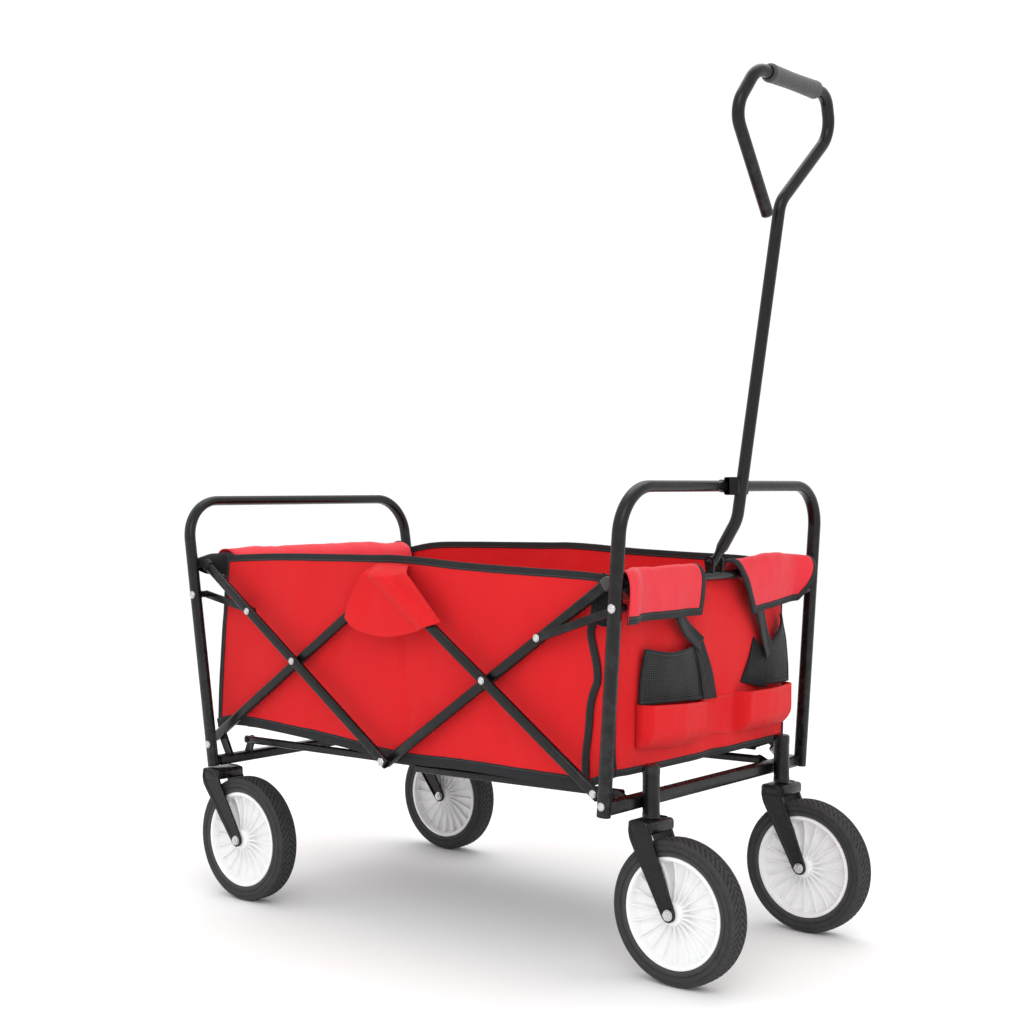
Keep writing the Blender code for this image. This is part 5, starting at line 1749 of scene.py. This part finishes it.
def netting(rows, strand=0.00050):
    """Cuts a hole into every face of a fine sheet: what is left is the net."""
    wide = len(rows[0])
    base = [p for row in rows for p in row]
    points, faces = list(base), []
    for i in range(len(rows) - 1):
        for k in range(wide - 1):
            start = i * wide + k
            corner = [start, start + 1, start + wide + 1, start + wide]
            middle = sum((base[c] for c in corner), Vector()) / 4
            side = (base[corner[1]] - base[corner[0]]).length
            keep = 1 - 2 * strand / max(side, 1e-6)
            hole = []
            for n in range(8):
                a, b = base[corner[n // 2]], base[corner[(n // 2 + 1) % 4]]
                spot = a.lerp(b, 0.28 if n % 2 == 0 else 0.72)
                hole.append(len(points))
                points.append(middle + (spot - middle) * keep)
            for n in range(4):
                here, following = corner[n], corner[(n + 1) % 4]
                faces.append((here, following, hole[2 * n + 1], hole[2 * n]))
                faces.append((following, hole[(2 * n + 2) % 8], hole[2 * n + 1]))
    return Part(points, faces)


def net_pocket(word):
    """A net pocket with its lining and binding, and the black gusset beside it."""
    shape = NET_POCKETS[word]
    side = SIDES[word]
    rows = net_surface(word, 22, 34 if word == "right" else 22)
    name = "net_pocket_" + word
    piece(name, [netting(rows)], NET, "front_end", thickness=0.0006, sharp=60)
    back = net_surface(word, 16, 22, 0.0024)
    backing = cloth(name + "_lining", back, DARK_CLOTH, "front_end", thickness=0.0005)
    sewn(name + "_binding", bound(rows, NET_EDGES, 71.0, 0.0, 0.0024), [TAPE, BLACK_THREAD],
         "front_end")
    corners = []
    for k, (y, z) in enumerate(shape["gusset"]):
        lift = 0.0080 if (k in (0, 3)) == (word == "right") else 0.0022
        corners.append(at(wall_x(y, z) + lift, y, z))
    a, b, c, d = corners
    bow = Vector((0.003, 0, 0))
    rows = coons([a, b], [d, c], [a, (a + d) / 2 + bow, d], [b, (b + c) / 2 + bow, c], 26, 18)
    rows = relief(rows, 0.0024, 77.0 + side, detail=(26.0, 26.0, 26.0))
    made = cloth("pocket_gusset_" + word, rows, DARK_CLOTH, "front_end")


def strap(word):
    """A webbing strap from under the flap to the net pocket's inner corner."""
    count = 36
    path = smooth_line(wall_line(STRAPS[word]), count)
    half = 0.0110 if word == "right" else 0.0130
    rows = []
    for i, (p, way) in enumerate(zip(path, directions(path))):
        t = i / count
        across = Vector((0, way.z, -way.y)) * (-1 if way.z < 0 else 1)
        bow = 0.0045 + 0.009 * (1 - t) + 0.0065 * t + 0.002 * math.sin(t * 7)
        row = []
        for k in range(9):
            spot = p + across * ((k / 4 - 1) * half)
            curl = 0.0022 * math.sin(2.2 * t + k * 0.5)
            row.append(at(wall_x(spot.y, spot.z) + bow + curl, spot.y, spot.z))
        rows.append(row)
    made = cloth("pocket_strap_" + word, rows, WEBBING, "front_end", thickness=0.0018)


def build_basket():
    """Every sheet with its tapes and seams."""
    for word, side in SIDES.items():
        side_wall(word, side)
        joint_flap(word, side)
        corner_patch(word, side)
        for end in SIGN:
            gusset(end, word, side)
    front_wall()
    rear_wall()
    for end in SIGN:
        floor_half(end)
        floor_lip(end)
    hem_flap("near_front_flap", "front", near_flap_place, FRONT_SADDLE, "front_flap_right", 81.0,
             (("high", 0.0085), ("last", 0.0075)))
    hem_flap("far_front_flap", "front", far_flap_place, FRONT_SADDLE, "front_flap_left", 85.0,
             (("high", 0.0080), ("first", 0.0080), ("last", 0.0055)))
    hem_flap("rear_flap_cloth", "rear", rear_flap_place, REAR_SADDLE, "rear_flap", 89.0,
             (("high", 0.0085), ("low", 0.0075), ("last", 0.0070)))
    cup_band()
    for word in SIDES:
        net_pocket(word)
        strap(word)


# ---- stage ---------------------------------------------------------------------------------------
def build_stage():
    """A pale floor and an even white sky."""
    bpy.ops.mesh.primitive_grid_add(x_subdivisions=8, y_subdivisions=8, size=24.0)
    ground = bpy.context.object
    ground.name = "studio_floor"
    ground.data.materials.append(pale_floor())
    world = bpy.data.worlds.new("studio")
    bpy.context.scene.world = world
    world.use_nodes = True
    back = world.node_tree.nodes["Background"]
    back.inputs["Color"].default_value = (1.0, 1.0, 1.0, 1.0)
    back.inputs["Strength"].default_value = SKY_STRENGTH
    bpy.context.scene.view_settings.view_transform = "Standard"


def area_light(name, place, target, size, power):
    """A soft rectangular light that faces target."""
    data = bpy.data.lights.new(name, "AREA")
    data.shape = "RECTANGLE"
    data.size, data.size_y = size
    data.energy = power
    lamp = bpy.data.objects.new(name, data)
    bpy.context.scene.collection.objects.link(lamp)
    lamp.location = place
    way = Vector(target) - Vector(place)
    lamp.rotation_euler = way.to_track_quat("-Z", "Y").to_euler()


SKY_STRENGTH = 1.05
CAMERA_PLACE = (1.46265, -1.770, 0.6025)
CAMERA_TURN = math.radians(39.863)
CAMERA_DIP = math.radians(0.948)
FOCAL_SHARE = 1613.4 / 512


def build_camera():
    """The camera of the photograph: one fitted place, turn and angle of view."""
    data = bpy.data.cameras.new("camera")
    data.angle = 2 * math.atan(1 / FOCAL_SHARE)
    camera = bpy.data.objects.new("camera", data)
    bpy.context.scene.collection.objects.link(camera)
    camera.location = CAMERA_PLACE
    camera.rotation_euler = (math.pi / 2 - CAMERA_DIP, 0, CAMERA_TURN)
    bpy.context.scene.camera = camera


build_camera()
build_stage()
area_light("key", (1.5, -2.0, 2.2), (0, 0, 0.35), (1.8, 1.4), 18.0)
area_light("top", (-0.3, 0.6, 2.8), (0, 0, 0.2), (2.4, 2.0), 22.0)
for end in SIGN:
    end_frame(end)
    cross_tube(end)
    top_rail(end)
for word, side in SIDES.items():
    scissor_side(word, side)
    for end in SIGN:
        arm_cap(end, word, side)
        link(end, word, side)
        brace(end, word, side)
hinge_rod()
build_wheels()
pull_handle()
handle_clip()
build_basket()
